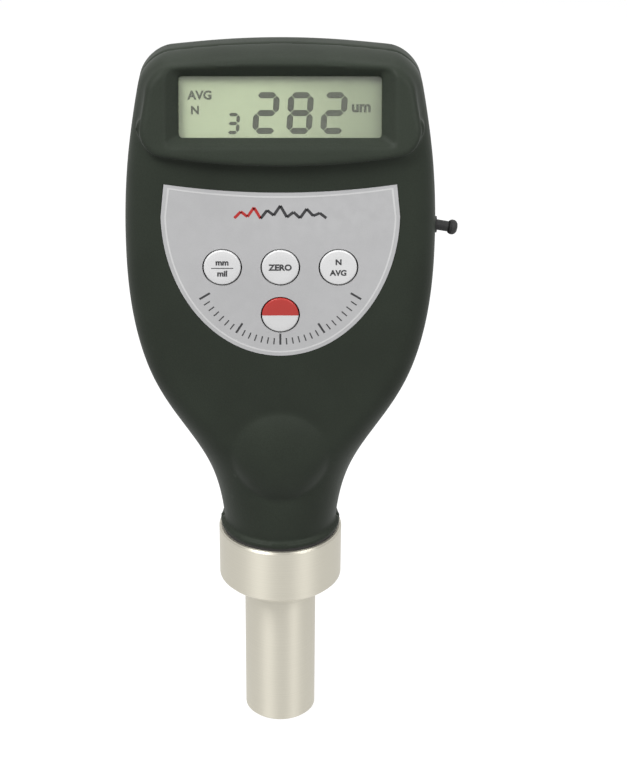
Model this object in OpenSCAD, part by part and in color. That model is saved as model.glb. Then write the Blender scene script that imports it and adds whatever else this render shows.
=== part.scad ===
// Handheld surface profile gauge: a moulded two-shell body with a leaning display head,
// a film keypad, four cells behind a sliding door, and a steel probe with a sprung needle.
// Origin at the centre of the foot face, +Z up along the probe, front towards -Y.

/* [Probe] */
// Diameter of the probe barrel
barrel_d = 16.4; // [15:0.1:18]
// Length of barrel below the collar
barrel_len = 36.6; // [34:0.2:42]
// Chamfer round the foot face
foot_chamfer = 0.5; // [0.2:0.1:1]
// Diameter of the screwed collar
collar_d = 28; // [27.6:0.1:30]
// Height of the collar
collar_h = 13.2; // [12.6:0.2:16]
// Chamfer on the collar's lower edge
collar_chamfer = 0.8; // [0.3:0.1:1.5]
// Height of the shoulder web at the bottom of the collar
collar_web = 4.2; // [3.6:0.1:5]
// Thickness of the barrel's flange inside the collar
flange_t = 3; // [2.4:0.1:3.4]
// Diameter of the neck spigot that the collar screws on
spigot_d = 23; // [22.4:0.1:23.6]
// Thickness of the seal between collar and neck
seal_t = 0.8; // [0.5:0.1:1.2]
// Amount that the seal lies inside the collar's edge
seal_inset = 0.9; // [0.5:0.1:1.2]

/* [Needle] */
// Diameter of the spindle
spindle_d = 3; // [2.6:0.1:3.4]
// Diameter of the hard needle
needle_d = 1.5; // [1.2:0.1:1.8]
// Included angle of the needle's point
needle_angle = 60; // [50:5:80]
// Travel of the needle below the foot face
needle_travel = 0.8; // [0.5:0.05:1]
// Web of the foot round the needle
foot_web = 1.2; // [1:0.1:1.6]
// Thickness of the whole foot
foot_t = 4; // [3.4:0.1:5]
// Height of the spigot that holds the foot in the barrel
foot_spigot = 1; // [0.6:0.1:1.4]
// Length of the lower bush's sleeve above its flange
bush_sleeve = 4.6; // [3.6:0.1:6]
// Thickness of each bush's flange
bush_flange = 1.5; // [1.2:0.1:2]
// Free space for the return spring
spring_len = 8; // [6.5:0.1:9.5]
// Wire of the return spring
spring_wire = 0.5; // [0.35:0.05:0.6]
// Turns of the return spring
spring_turns = 6; // [4:1:8]
// Diameter of the bore in the lower barrel
low_bore_d = 11.2; // [10.6:0.1:11.6]
// Diameter of the bore that holds the coil
coil_bore_d = 12.8; // [12.4:0.1:13.2]
// Length of the coil former
former_len = 16; // [14:0.2:17]
// Diameter of the core on the spindle
core_d = 4.2; // [3.8:0.1:4.4]
// Length of the core
core_len = 7; // [5:0.2:9]
// Thickness of the cap at the top of the barrel
cap_t = 2.4; // [2:0.1:2.6]
// Diameter of the sensor lead
lead_d = 2; // [1.6:0.1:2.2]

/* [Body] */
// Height of the body from the seal to the crest
body_h = 111.9; // [110:0.2:118]
// Greatest width of the body
body_w = 64.8; // [63:0.2:70]
// Probe axis to the flat front
face_y = 11.8; // [11.6:0.1:12.8]
// Probe axis to the flat back
back_y = 12.8; // [12.8:0.1:14]
// Wall of the shells
wall = 2; // [1.8:0.1:2.2]
// Diameter of the lip at the bottom of the neck
lip_d = 27.2; // [26.8:0.1:27.8]
// Height of the lip
lip_h = 1.2; // [0.8:0.1:1.6]
// Radius of the neck at its narrowest
neck_r = 12.8; // [12.6:0.1:13.2]
// Drop from the crest to where the flare reaches full width
flare_below = 41.9; // [40:0.1:44]
// Rise from there to where the sides begin to draw in
side_rise = 1; // [0.5:0.1:3]
// Radius of the sides above the widest place
side_r = 165; // [150:5:200]
// Radius of the arched crest
crest_r = 170; // [150:5:220]
// Radius of the top corners
corner_r = 5.2; // [4:0.2:7]
// Radius of the rounded crest from front to back
nose_r = 11; // [9.6:0.2:11.4]
// Radius of the long edges in front
front_edge = 5.5; // [4:0.25:6.5]
// Radius of the long edges at the back
back_edge = 6; // [5:0.1:7]
// Height of the thumb dome above the seal
dome_z = 22.6; // [20:0.2:25]
// Diameter of the thumb dome where it meets the face
dome_d = 21.4; // [16:0.2:22]
// Rise of the thumb dome
dome_rise = 2.8; // [1.5:0.1:2.9]

/* [Display] */
// Drop from the crest to the hood's lower edge
hood_h = 21.7; // [20:0.1:22.4]
// Amount that the hood stands out at its lower edge
brim_step = 3; // [2:0.1:3.6]
// Lean of the display face
lean = 20; // [18:0.5:22]
// Inset of the hood from the outline of the body
hood_inset = 1.8; // [1.2:0.1:2.4]
// Radius of the hood's bowed lower edge
bow_r = 170; // [140:5:220]
// Radius of the hood's lower corners
hood_corner = 5; // [3:0.25:7]
// Widest place of the body to the window, at each side
window_side = 11.9; // [11.7:0.1:13.4]
// Height of the window
window_h = 12.2; // [11:0.1:12.6]
// Middle of the window above the hood's lower edge
window_rise = 12.4; // [12:0.1:12.8]
// Depth of the sloping frame round the window
frame_depth = 2.4; // [1.6:0.1:2.6]
// Spread of the frame at each side
frame_side = 2.9; // [1.5:0.1:3.2]
// Spread of the frame above and below
frame_end = 2.2; // [1.2:0.1:2.4]
// Straight lip between the frame and the lens
frame_lip = 0.8; // [0.6:0.1:1]
// Thickness of the lens
lens_t = 1.2; // [0.8:0.1:1.5]
// Overlap of the lens behind the lip
lens_lap = 1.6; // [1.2:0.1:1.8]
// Thickness of the display glass
glass_t = 2.4; // [1.8:0.1:2.8]
// Thickness of the display carrier
carrier_t = 2.4; // [1.8:0.1:2.6]

/* [Keypad] */
// Widest place of the body to the keypad film, at each side
film_side = 7.8; // [7.4:0.1:9.4]
// Drop from the hood's lower edge to the film's widest place
film_below = 11.5; // [10.2:0.1:13.2]
// Drop from the widest place to the lowest point
film_drop = 31.6; // [29:0.2:33]
// Rise from the widest place to the top corners
film_rise = 7; // [6:0.2:7.8]
// Sag of the film's top edge in the middle
film_sag = 1.8; // [0.5:0.1:2.4]
// Thickness of the film with its adhesive
film_t = 0.5; // [0.3:0.05:0.6]
// Diameter of the keys
key_d = 7.7; // [7:0.1:8.4]
// Spacing of the keys in the row
key_pitch = 12.1; // [11:0.1:13]
// Drop from the hood's lower edge to the key row
key_below = 22.8; // [21.4:0.1:24.2]
// Drop from the key row to the power key
power_drop = 10.8; // [10:0.1:12]
// Travel of a key
key_travel = 0.4; // [0.2:0.05:0.45]
// Amount that a key stands proud of the film
key_proud = 0.2; // [0.1:0.05:0.4]
// Diameter of a key's stem
stem_d = 3.6; // [3:0.1:4]

/* [Cells] */
// Diameter of a cell
cell_d = 10.5; // [10.2:0.1:10.6]
// Length of a cell with its button
cell_len = 44.5; // [43.5:0.1:44.6]
// Diameter of a cell's button
button_d = 3.8; // [3.4:0.1:4.2]
// Height of a cell's button
button_h = 1; // [0.8:0.1:1.2]
// Spacing of the cells
cell_pitch = 10.7; // [10.65:0.01:10.75]
// Number of cells
cells = 4; // [4:1:4]
// Length of a contact spring
contact_len = 3.4; // [2.8:0.1:3.6]
// Thickness of a contact plate
contact_t = 0.4; // [0.3:0.05:0.5]
// Width of the sliding door
door_w = 46.4; // [46.2:0.1:46.6]
// Overlap of the door below the bay
door_lap = 3.4; // [3:0.1:4]

/* [Board and port] */
// Gap between the front wall and the board
board_gap = 2.6; // [2.4:0.05:2.8]
// Thickness of the board
board_t = 1.6; // [1.2:0.1:1.7]
// Drop from the hood's lower edge to the port
port_below = 16.6; // [15.2:0.1:17.7]
// Diameter of the port's bore
port_d = 3.6; // [3.2:0.1:3.8]
// Length of the jack
jack_len = 6; // [5.4:0.1:6.2]
// Length of the plug's grip outside the body
grip_len = 4.7; // [3.5:0.1:6]
// Diameter of the plug's grip
grip_d = 3.2; // [2.6:0.1:3.6]
// Droop of the plug's grip
grip_droop = 10; // [0:1:14]

/* [Fasteners] */
// Diameter of the case screws
case_screw_d = 2.4; // [2:0.1:2.6]
// Diameter of the case screws' heads
case_head_d = 4.6; // [4:0.1:4.8]
// Diameter of the board screws
board_screw_d = 1.8; // [1.6:0.1:2]
// Diameter of the board screws' heads
board_head_d = 3.6; // [3:0.1:4]

/* [Clearances] */
// Radial clearance of running fits
run_gap = 0.03; // [0.02:0.01:0.06]
// Radial clearance of slip fits
slip_gap = 0.05; // [0.03:0.01:0.08]
// Clearance round loose pieces and moving covers
free_gap = 0.3; // [0.25:0.05:0.35]

/* [Hidden] */
$fn = 64;

plastic = [0.21, 0.23, 0.205];
steel = [0.80, 0.79, 0.75];
brass = [0.75, 0.62, 0.33];
copper = [0.72, 0.42, 0.24];
pale = [0.88, 0.85, 0.75];
dark = [0.10, 0.10, 0.10];
board_green = [0.10, 0.32, 0.18];

// Overshoot of cuts, and the least step between stations and flats
past_cut = 1;
sliver = 0.05;
least_step = 0.1;

function mix(a, b, t) = a + (b - a) * t;
function ease(t) = let (u = min(max(t, 0), 1)) u * u * (3 - 2 * u);
function bezier(a, b, c, d, t) = pow(1 - t, 3) * a + 3 * t * pow(1 - t, 2) * b
    + 3 * t * t * (1 - t) * c + pow(t, 3) * d;
function bearing(from, to) = atan2(to[1] - from[1], to[0] - from[0]);
function arc(centre, r, a, b, steps) = [for (i = [0 : steps]) let (t = mix(a, b, i / steps))
    centre + r * [cos(t), sin(t)]];

// Where two circles cross; side is 1 for the left of the line from p to q, -1 for the right
function crossing(p, rp, q, rq, side) = let (
    d = norm(q - p),
    along = (rp * rp - rq * rq + d * d) / (2 * d),
    across = sqrt(rp * rp - along * along),
    u = (q - p) / d) p + along * u + side * across * [-u[1], u[0]];

// Skin over a list of sections with the same number of points each; turn reverses its faces
module loft(sections, turn) {
    n = len(sections[0]);
    rows = len(sections);
    points = [for (s = sections) for (p = s) p];
    walls = [for (j = [0 : rows - 2]) for (i = [0 : n - 1]) let (k = (i + 1) % n, a = j * n, b = (j + 1) * n)
        for (f = [[a + i, b + i, b + k], [a + i, b + k, a + k]]) turn ? [f[2], f[1], f[0]] : f];
    up = [for (i = [0 : n - 1]) i];
    down = [for (i = [n - 1 : -1 : 0]) i];
    top = (rows - 1) * n;
    polyhedron(points, concat(walls, [turn ? down : up], [[for (i = turn ? up : down) top + i]]));
}

// Round wire swept along a list of points, with a flat polygon of sides at each point
function ring(p, dir, r, sides) = let (
    u = abs(dir[2]) < 0.9 ? cross(dir, [0, 0, 1]) : cross(dir, [1, 0, 0]),
    e = u / norm(u),
    f = cross(dir, e)) [for (i = [0 : sides - 1]) let (a = 360 * i / sides)
        p + r * (cos(a) * e + sin(a) * f)];

module wire(path, r, sides) {
    n = len(path) - 1;
    loft([for (i = [0 : n]) let (d = path[min(i + 1, n)] - path[max(i - 1, 0)])
        ring(path[i], d / norm(d), r, sides)], true);
}

// Points along a coil from r0 at z0 to r1 at z1
function coil(r0, r1, z0, z1, turns, per_turn) = let (n = turns * per_turn) [for (i = [0 : n])
    let (t = i / n, a = 360 * turns * t, r = mix(r0, r1, t)) [r * cos(a), r * sin(a), mix(z0, z1, t)]];

// Round rods along Y and X, from the lower coordinate a to the higher b
module rod_y(d, a, b) {
    translate([0, a, 0]) rotate([-90, 0, 0]) cylinder(d = d, h = b - a);
}

module rod_x(d, a, b) {
    translate([a, 0, 0]) rotate([0, 90, 0]) cylinder(d = d, h = b - a);
}

module tube(outer_r, inner_r, h) {
    difference() {
        cylinder(r = outer_r, h = h);
        translate([0, 0, -past_cut]) cylinder(r = inner_r, h = h + 2 * past_cut);
    }
}

// A plate of width w and height h about the Z axis, its lower face at z
module slab(w, h, t, z) {
    translate([-w / 2, -h / 2, z]) cube([w, h, t]);
}

// Stands a flat outline up in the XZ plane; it is extruded from y towards the front
module facing(y) {
    translate([0, y, 0]) rotate([90, 0, 0]) children();
}

module at_places(places) {
    for (p = places) translate([p[0], 0, p[1]]) children();
}

// Levels along the probe
collar_top = barrel_len + collar_h;
seat_z = collar_top + seal_t;
flange_z = barrel_len + collar_web;
barrel_relief = 0.2;
barrel_step = 0.4;
shank_r = barrel_d / 2 - barrel_step;
barrel_top = flange_z + flange_t;
foot_top = foot_t + foot_spigot;
bush_top = foot_top + bush_flange + bush_sleeve;
stop_gap = 0.1;
spring_seat_t = 1;
spring_z = bush_top + needle_travel + stop_gap + spring_seat_t;
former_z = spring_z + spring_len;
upper_bush_z = former_z + former_len;
cap_z = barrel_top - cap_t;
spigot_r = spigot_d / 2;
spigot_z = barrel_top - seat_z;

// Needle and spindle
end_gap = 0.2;
needle_gap = 0.45;
needle_hole = needle_d / 2 + needle_gap;
needle_grip = 2.4;
spindle_over = 0.6;
spindle_z = foot_web + needle_travel + end_gap;
spindle_top = upper_bush_z + bush_flange + spindle_over;
needle_top = spindle_z + needle_grip;
cone_h = needle_d / 2 / tan(needle_angle / 2);
bush_skin = 1.5;
bush_r = spindle_d / 2 + bush_skin;
sleeve_r = bush_r - 0.4;
spring_gap = 1.3;
spring_lip = 0.8;
spring_mean_r = spindle_d / 2 + spring_gap;
spring_seat_r = spring_mean_r + spring_lip;

// Coil
former_flange_t = 1;
tube_t = 0.8;
winding_inset = 0.6;
windings = 3;
winding_len = (former_len - (windings + 1) * former_flange_t) / windings;
winding_pitch = winding_len + former_flange_t;
tube_r = core_d / 2 + free_gap;
core_z = former_z + (former_len - core_len) / 2;
lead_hole_r = lead_d / 2 + free_gap;

// The body's outline: a flare, then side, corner and crest arcs that touch each other
half_w = body_w / 2;
brim_z = body_h - hood_h;
flare_top = body_h - flare_below;
side_start = flare_top + side_rise;
flare_low = -5.5;
flare_draw = 0.4;
neck_share = 0.473;
body_share = 0.5825;
neck_pull = neck_share * (flare_top - flare_low);
body_pull = body_share * (flare_top - flare_low);
flare_from = 0.1;
flare_steps = 15;
arc_steps = 5;
edge_steps = 6;
crest_steps = 2;
crest_from = 0.35;
crest_to = 0.96;
side_centre = [half_w - side_r, side_start];
crest_centre = [0, body_h - crest_r];
corner_centre = crossing(side_centre, side_r - corner_r, crest_centre, crest_r - corner_r, 1);
side_turn = bearing(side_centre, corner_centre);
crest_turn = bearing(crest_centre, corner_centre);

// Half outline as [half width, height] pairs, drawn in by inset
function upper_outline(inset) = concat(
    arc(side_centre, side_r - inset, 0, side_turn, arc_steps),
    arc(corner_centre, corner_r - inset, side_turn, crest_turn, arc_steps),
    arc(crest_centre, crest_r - inset, mix(crest_turn, 90, crest_from), mix(crest_turn, 90, crest_to),
        crest_steps));
function flare(t, inset) = let (w = neck_r - flare_draw) [bezier(w, w, half_w, half_w, t) - inset,
    bezier(flare_low, flare_low + neck_pull, flare_top - body_pull, flare_top, t)];
function rising(list) = [for (i = [0 : len(list) - 1])
    if (i == 0 || list[i][1] > list[i - 1][1] + least_step) list[i]];
function stations(inset) = rising(concat(
    inset > 0 ? [[neck_r - inset, -lip_h]] : [[lip_d / 2, 0], [lip_d / 2, lip_h]],
    [for (i = [0 : flare_steps]) flare(mix(flare_from, 1, i / flare_steps), inset)],
    upper_outline(inset)));

// Depth and edge radius of a section: round at the neck, flat with rounded edges above it
blend_low = 4;
depth_blend = 14;
edge_blend = 40;
least_edge = 0.5;

function depth(z, w, full, inset) = let (
    nose = nose_r - inset,
    drop = max(0, z - (body_h - inset - nose)),
    neck = min(w, z > lip_h ? neck_r : lip_d / 2))
    mix(neck, full - inset, ease((z - blend_low) / depth_blend))
        - nose + sqrt(max(0, nose * nose - drop * drop));
function edge(z, w, d, full, inset) = min(min(w, d) - sliver,
    max(mix(neck_r, full, ease((z - blend_low) / edge_blend)) - inset, least_edge));

// One half section from +X round to -X; side is -1 for the front half and 1 for the back half,
// and past is how far it reaches over the parting plane
function half_section(s, side, past, inset) = let (
    w = s[0],
    z = s[1],
    d = depth(z, w, side < 0 ? face_y : back_y, inset),
    r = edge(z, w, d, side < 0 ? front_edge : back_edge, inset)) concat(
    [[w, -side * past, z]],
    [for (i = [0 : edge_steps]) let (a = 90 * i / edge_steps)
        [w - r + r * cos(a), side * (d - r + r * sin(a)), z]],
    [for (i = [0 : edge_steps]) let (a = 90 + 90 * i / edge_steps)
        [-w + r + r * cos(a), side * (d - r + r * sin(a)), z]],
    [[-w, -side * past, z]]);

module body_half(side, past, inset) {
    loft([for (s = stations(inset)) half_section(s, side, past, inset)], side < 0);
}

module spigot_half(side) {
    intersection() {
        translate([0, 0, spigot_z]) tube(spigot_r, spigot_r - wall, lip_h - spigot_z);
        translate([-spigot_d, side < 0 ? -spigot_d : 0, spigot_z - past_cut])
            cube([2 * spigot_d, spigot_d, body_h]);
    }
}

// Display stack, with levels measured out of the display face
window_w = body_w - 2 * window_side;
lens_w = window_w + 2 * lens_lap;
lens_h = window_h + 2 * lens_lap;
lens_front = -frame_depth - frame_lip;
glass_front = lens_front - lens_t;
carrier_front = glass_front - glass_t;
glass_ledge = 1.4;
carrier_rim = 0.6;
carrier_bar = 3;

// Moves from the body's own level to the display face: X across, Y up the face, Z out of it
module on_display() {
    translate([0, -face_y - brim_step, brim_z]) rotate([90 - lean, 0, 0])
        translate([0, window_rise, 0]) children();
}

// The [y, z] place of a point that lies up the face from the window's middle and deep behind it
function behind_display(up, deep) = [
    -face_y - brim_step + (window_rise + up) * sin(lean) + deep * cos(lean),
    brim_z + (window_rise + up) * cos(lean) - deep * sin(lean)];

module ahead_of_display(deep) {
    reach = 2 * body_w;
    on_display() slab(reach, reach, reach, -deep);
}

// Outline of the hood as seen from the front
bow_centre = [0, brim_z + bow_r];
hood_centre = crossing(side_centre, side_r - hood_inset - hood_corner, bow_centre, bow_r - hood_corner, -1);
hood_bow_turn = bearing(bow_centre, hood_centre);
hood_side_turn = bearing(side_centre, hood_centre);
hood_half = concat(
    arc(bow_centre, bow_r, -90, hood_bow_turn, arc_steps),
    arc(hood_centre, hood_corner, hood_bow_turn, hood_side_turn, arc_steps),
    arc(side_centre, side_r - hood_inset, mix(hood_side_turn, side_turn, 1 / arc_steps), side_turn,
        arc_steps),
    arc(corner_centre, corner_r - hood_inset, mix(side_turn, crest_turn, 1 / arc_steps), crest_turn,
        arc_steps));
hood_other = [for (i = [len(hood_half) - 1 : -1 : 1]) [-hood_half[i][0], hood_half[i][1]]];

module hood() {
    facing(-nose_r / 3) linear_extrude(face_y + brim_step) polygon(concat(hood_half, hood_other));
}

module dome() {
    r = (pow(dome_d / 2, 2) + pow(dome_rise, 2)) / (2 * dome_rise);
    intersection() {
        translate([0, -face_y - dome_rise + r, dome_z]) sphere(r);
        translate([-dome_d, -face_y - dome_rise - past_cut, 0])
            cube([2 * dome_d, dome_rise + 2 * past_cut, 2 * dome_z]);
    }
}

module window_cut() {
    mouth = [(window_w + 2 * frame_side) / window_w, (window_h + 2 * frame_end) / window_h];
    pocket = 3 * wall;
    on_display() {
        translate([0, 0, -frame_depth]) linear_extrude(frame_depth + sliver, slices = 1, scale = mouth)
            square([window_w, window_h], center = true);
        slab(window_w, window_h, frame_lip + 2 * sliver, lens_front - sliver);
        slab(lens_w + 2 * free_gap, lens_h + 2 * free_gap, pocket, lens_front - pocket);
    }
}

// Keypad film: half an ellipse with drawn-in top corners and a sagging top edge
film_w = body_w - 2 * film_side;
film_z = brim_z - film_below;
film_draw = 0.8;
film_gap = 0.1;
film_steps = 24;
film_top_steps = 8;

function film_outline(grow) = let (
    a = film_w / 2 + grow,
    top_half = a - film_draw) concat(
    [for (i = [0 : film_steps]) let (t = 180 + 180 * i / film_steps)
        [a * cos(t), film_z + (film_drop + grow) * sin(t)]],
    [for (i = [0 : film_top_steps]) let (x = mix(top_half, -top_half, i / film_top_steps))
        [x, film_z + film_rise + grow - film_sag * (1 - pow(x / top_half, 2))]]);

// Keys and what lies behind them, as distances ahead of the probe axis
key_z = brim_z - key_below;
key_places = [[-key_pitch, key_z], [0, key_z], [key_pitch, key_z], [0, key_z - power_drop]];
key_under = 0.2;
key_base = 0.1;
stem_gap = 0.05;
switch_h = 1.35;
switch_body = 0.8;
switch_w = 5.2;
switch_d = 2.2;
film_back = face_y - film_t;
key_pocket = film_back - key_travel - key_under;
front_inside = face_y - wall;
board_front = front_inside - board_gap;
board_back = board_front - board_t;
switch_top = board_front + switch_h;

// Levels of the battery bay, which reaches up to the hood's lower edge
contact_gap = 0.1;
bay_len = cell_len + contact_len + 2 * contact_t + 5 * contact_gap;
bay_top = brim_z;
bay_z = bay_top - bay_len;

// Case screws: two beside the display, two in the flare below the cells
screw_x = half_w - wall - 4;
screw_drop = 15;
screw_share = 0.54;
screw_edge = 8.9;
lower_spot = flare(screw_share, screw_edge);
case_places = [
    [-screw_x, body_h - screw_drop], [screw_x, body_h - screw_drop],
    [-lower_spot[0], lower_spot[1]], lower_spot];
boss_skin = 0.5;
front_boss_d = case_head_d + 2 * boss_skin;
rear_boss_d = front_boss_d + 2 * boss_skin;
head_sink = 4.4;
head_seat = back_y - head_sink;
head_h = 1.8;
head_slot = 0.7;
tip_gap = 3.2;
screw_tip = -front_inside + tip_gap;
pilot_over = 0.5;
root = 0.5;

// Board and its screws
board_low = 24;
board_high = brim_z - 5;
board_side = 6.4;
board_half = half_w - wall - board_side;
neck_gap = 1.6;
board_neck = lower_spot[0] - front_boss_d / 2 - neck_gap;
neck_drop = 3;
neck_rise = 2;
board_post_edge = 3.6;
board_post_x = board_half - board_post_edge;
board_post_d = 4.4;
post_low = 5.6;
post_high = 41;
board_places = [for (x = [-board_post_x, board_post_x]) for (z = [post_low, post_high]) [x, bay_z + z]];
board_head_h = 1.1;
pilot_skin = 0.2;

// Port at the right side, behind the board
port_z = brim_z - port_below;
port_skin = 0.4;
port_y = -board_back / 2 - port_skin / 2;
jack_w = 2 * (-port_y - port_skin);
jack_gap = 0.4;
jack_end = 1;
port_gap = 0.7;
jack_out = half_w - wall - jack_gap;
jack_in = jack_out - jack_len;
plug_in = jack_in + jack_end + 0.2;

module front_shell() {
    color(plastic) translate([0, 0, seat_z]) {
        difference() {
            union() {
                difference() {
                    union() {
                        body_half(-1, 0, 0);
                        hood();
                    }
                    ahead_of_display(0);
                }
                dome();
            }
            difference() {
                body_half(-1, past_cut, wall);
                ahead_of_display(-lens_front);
            }
            window_cut();
            facing(-film_back) linear_extrude(film_t + past_cut) polygon(film_outline(film_gap));
            at_places(key_places) {
                rod_y(key_d + 2 * free_gap, -face_y - past_cut, -key_pocket);
                rod_y(stem_d + 2 * free_gap, -face_y - past_cut, -board_front);
            }
            translate([0, port_y, port_z]) rod_x(port_d + 2 * port_gap, jack_in, body_w);
        }
        spigot_half(-1);
        difference() {
            at_places(case_places) rod_y(front_boss_d, -front_inside - root, 0);
            at_places(case_places) rod_y(case_screw_d + 2 * slip_gap, screw_tip - pilot_over, past_cut);
        }
        difference() {
            at_places(board_places) rod_y(board_post_d, -front_inside - root, -board_front);
            at_places(board_places) rod_y(board_screw_d + 2 * slip_gap, -front_inside - pilot_skin, 0);
        }
    }
}

// Battery bay, open to the back, and the hooks of its door
bay_side = 0.6;
bay_half = cells * cell_pitch / 2 + bay_side;
bay_wall = 1.4;
door_clear = 1.2;
bay_back = back_y - wall - door_clear;
cell_y = bay_back - cell_d / 2 - sliver;
bay_floor = cell_y - cell_d / 2 - contact_gap;
door_half = door_w / 2;
door_low = bay_z - door_lap;
door_front = 3.6;
door_gap = 0.25;
hook_drop = 2.6;
hook_y = bay_back - hook_drop;
hook_t = 1;
hook_leg = 1;
hook_reach = 0.9;
hook_len = 5;
hook_low = 8;
hook_high = 12;
hook_places = [bay_z + hook_low, bay_top - hook_high];
groove_low = bay_z + hook_low / 2;
rail_t = 1.2;

module bay() {
    outer = bay_half + bay_wall;
    groove = hook_reach + door_gap;
    difference() {
        translate([-outer, bay_floor - bay_wall, bay_z - bay_wall])
            cube([2 * outer, bay_back - bay_floor + bay_wall, bay_len + 2 * bay_wall]);
        translate([-bay_half, bay_floor, bay_z]) cube([2 * bay_half, back_y, bay_len]);
        for (s = [-1, 1]) {
            translate([s * bay_half - groove, hook_y - door_gap, groove_low])
                cube([2 * groove, hook_t + 2 * door_gap, body_h]);
            translate([s * (bay_half - hook_leg / 2) - hook_leg, hook_y - door_gap, bay_top - past_cut])
                cube([2 * hook_leg, back_y, body_h]);
        }
    }
    for (x = [-door_half - rail_t, door_half]) translate([x, hook_y, bay_z - bay_wall])
        cube([rail_t, back_y - wall / 2 - hook_y, bay_len + 2 * bay_wall]);
    translate([-outer, door_front - bay_wall - free_gap, bay_top])
        cube([2 * outer, bay_wall, body_h - wall / 2 - bay_top]);
}

// The part of the back that the door fills, drawn in by gap
module door_region(gap) {
    translate([-door_half + gap, door_front + gap, door_low + gap])
        cube([door_w - 2 * gap, 2 * back_y, body_h]);
}

module screw_cuts() {
    at_places(case_places) {
        rod_y(case_screw_d + 2 * free_gap, -past_cut, 2 * back_y);
        rod_y(case_head_d + 2 * free_gap, head_seat, 2 * back_y);
    }
}

module rear_shell() {
    color(plastic) translate([0, 0, seat_z]) {
        difference() {
            body_half(1, 0, 0);
            body_half(1, past_cut, wall);
            door_region(0);
            screw_cuts();
        }
        intersection() {
            bay();
            body_half(1, back_y, jack_gap);
        }
        spigot_half(1);
        difference() {
            intersection() {
                at_places(case_places) rod_y(rear_boss_d, 0, head_seat + head_h);
                body_half(1, 0, jack_gap);
            }
            screw_cuts();
            door_region(0);
        }
    }
}

module battery_door() {
    color(plastic) translate([0, 0, seat_z]) {
        intersection() {
            difference() {
                body_half(1, 0, 0);
                body_half(1, past_cut, wall);
            }
            door_region(door_gap);
        }
        for (s = [-1, 1]) for (z = hook_places) translate([s * (bay_half - door_gap), hook_y, z]) {
            translate([s > 0 ? -hook_leg : 0, 0, 0]) cube([hook_leg, back_y - wall / 2 - hook_y, hook_len]);
            translate([s > 0 ? -hook_leg : -hook_reach, 0, 0])
                cube([hook_leg + hook_reach, hook_t, hook_len]);
        }
    }
}

module display_lens() {
    color([0.85, 0.88, 0.82, 0.5]) translate([0, 0, seat_z]) on_display()
        slab(lens_w, lens_h, lens_t, glass_front);
}

// Two glass plates; the rear one is taller and carries the contact ledge along its lower edge
module display_glass() {
    color([0.72, 0.76, 0.64]) translate([0, 0, seat_z]) on_display() {
        slab(lens_w, lens_h, glass_t / 2, glass_front - glass_t / 2);
        translate([0, -glass_ledge / 2, 0]) slab(lens_w, lens_h + glass_ledge, glass_t / 2, carrier_front);
    }
}

module display_carrier() {
    outer_w = lens_w - 2 * carrier_rim;
    outer_h = lens_h + glass_ledge - 2 * carrier_rim;
    color(dark) translate([0, 0, seat_z]) on_display() translate([0, -glass_ledge / 2, 0]) difference() {
        slab(outer_w, outer_h, carrier_t, carrier_front - carrier_t);
        slab(outer_w - 2 * carrier_bar, outer_h - 2 * carrier_bar, carrier_t + 2 * past_cut,
            carrier_front - carrier_t - past_cut);
    }
}

ribbon_edge = 5.1;
ribbon_w = lens_w - 2 * ribbon_edge;
ribbon_t = 0.3;
bond = 3;

// Film ribbon from the glass's contact ledge down to the front of the board
module display_ribbon() {
    ledge_low = -lens_h / 2 - glass_ledge;
    ledge_high = -lens_h / 2 - least_step;
    ledge_front = glass_t / 2 - glass_front;
    front = ledge_front - ribbon_t;
    color(brass) translate([-ribbon_w / 2, 0, seat_z]) rotate([90, 0, 90]) linear_extrude(ribbon_w) polygon([
        [-board_front - ribbon_t, board_high - bond], [-board_front - ribbon_t, board_high + ribbon_t],
        behind_display(ledge_low, front), behind_display(ledge_high, front),
        behind_display(ledge_high, ledge_front), behind_display(ledge_low, ledge_front),
        [-board_front, board_high], [-board_front, board_high - bond]]);
}

module main_board() {
    color(board_green) translate([0, 0, seat_z]) difference() {
        facing(-board_back) linear_extrude(board_t) polygon([
            [-board_neck, board_low], [board_neck, board_low], [board_neck, bay_z - neck_drop],
            [board_half, bay_z + neck_rise], [board_half, board_high], [-board_half, board_high],
            [-board_half, bay_z + neck_rise], [-board_neck, bay_z - neck_drop]]);
        at_places(board_places) rod_y(board_screw_d + 2 * slip_gap, -board_front - past_cut, 0);
    }
}

chip_w = 9;
chip_t = 1.4;
chip_rise = 20;

module controller_chip() {
    color(dark) translate([-chip_w / 2, -board_back, seat_z + bay_z + chip_rise])
        cube([chip_w, chip_t, chip_w]);
}

module key_switches() {
    color(dark) translate([0, 0, seat_z]) at_places(key_places) {
        translate([-switch_w / 2, -board_front - switch_body, -switch_w / 2])
            cube([switch_w, switch_body, switch_w]);
        rod_y(switch_d, -switch_top, -board_front - switch_body / 2);
    }
}

socket_w = 6;
socket_t = 3.2;
socket_h = 5;
socket_rise = 0.5;

module lead_socket() {
    color(pale) translate([-socket_w / 2, -board_back, seat_z + board_low + socket_rise])
        cube([socket_w, socket_t, socket_h]);
}

module at_port() {
    translate([0, port_y, seat_z + port_z]) children();
}

module data_jack() {
    color(dark) at_port() difference() {
        translate([jack_in, -board_back - port_y, -jack_w / 2]) cube([jack_len, jack_w, jack_w]);
        rod_x(port_d, jack_in + jack_end, jack_out + past_cut);
    }
}

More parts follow.
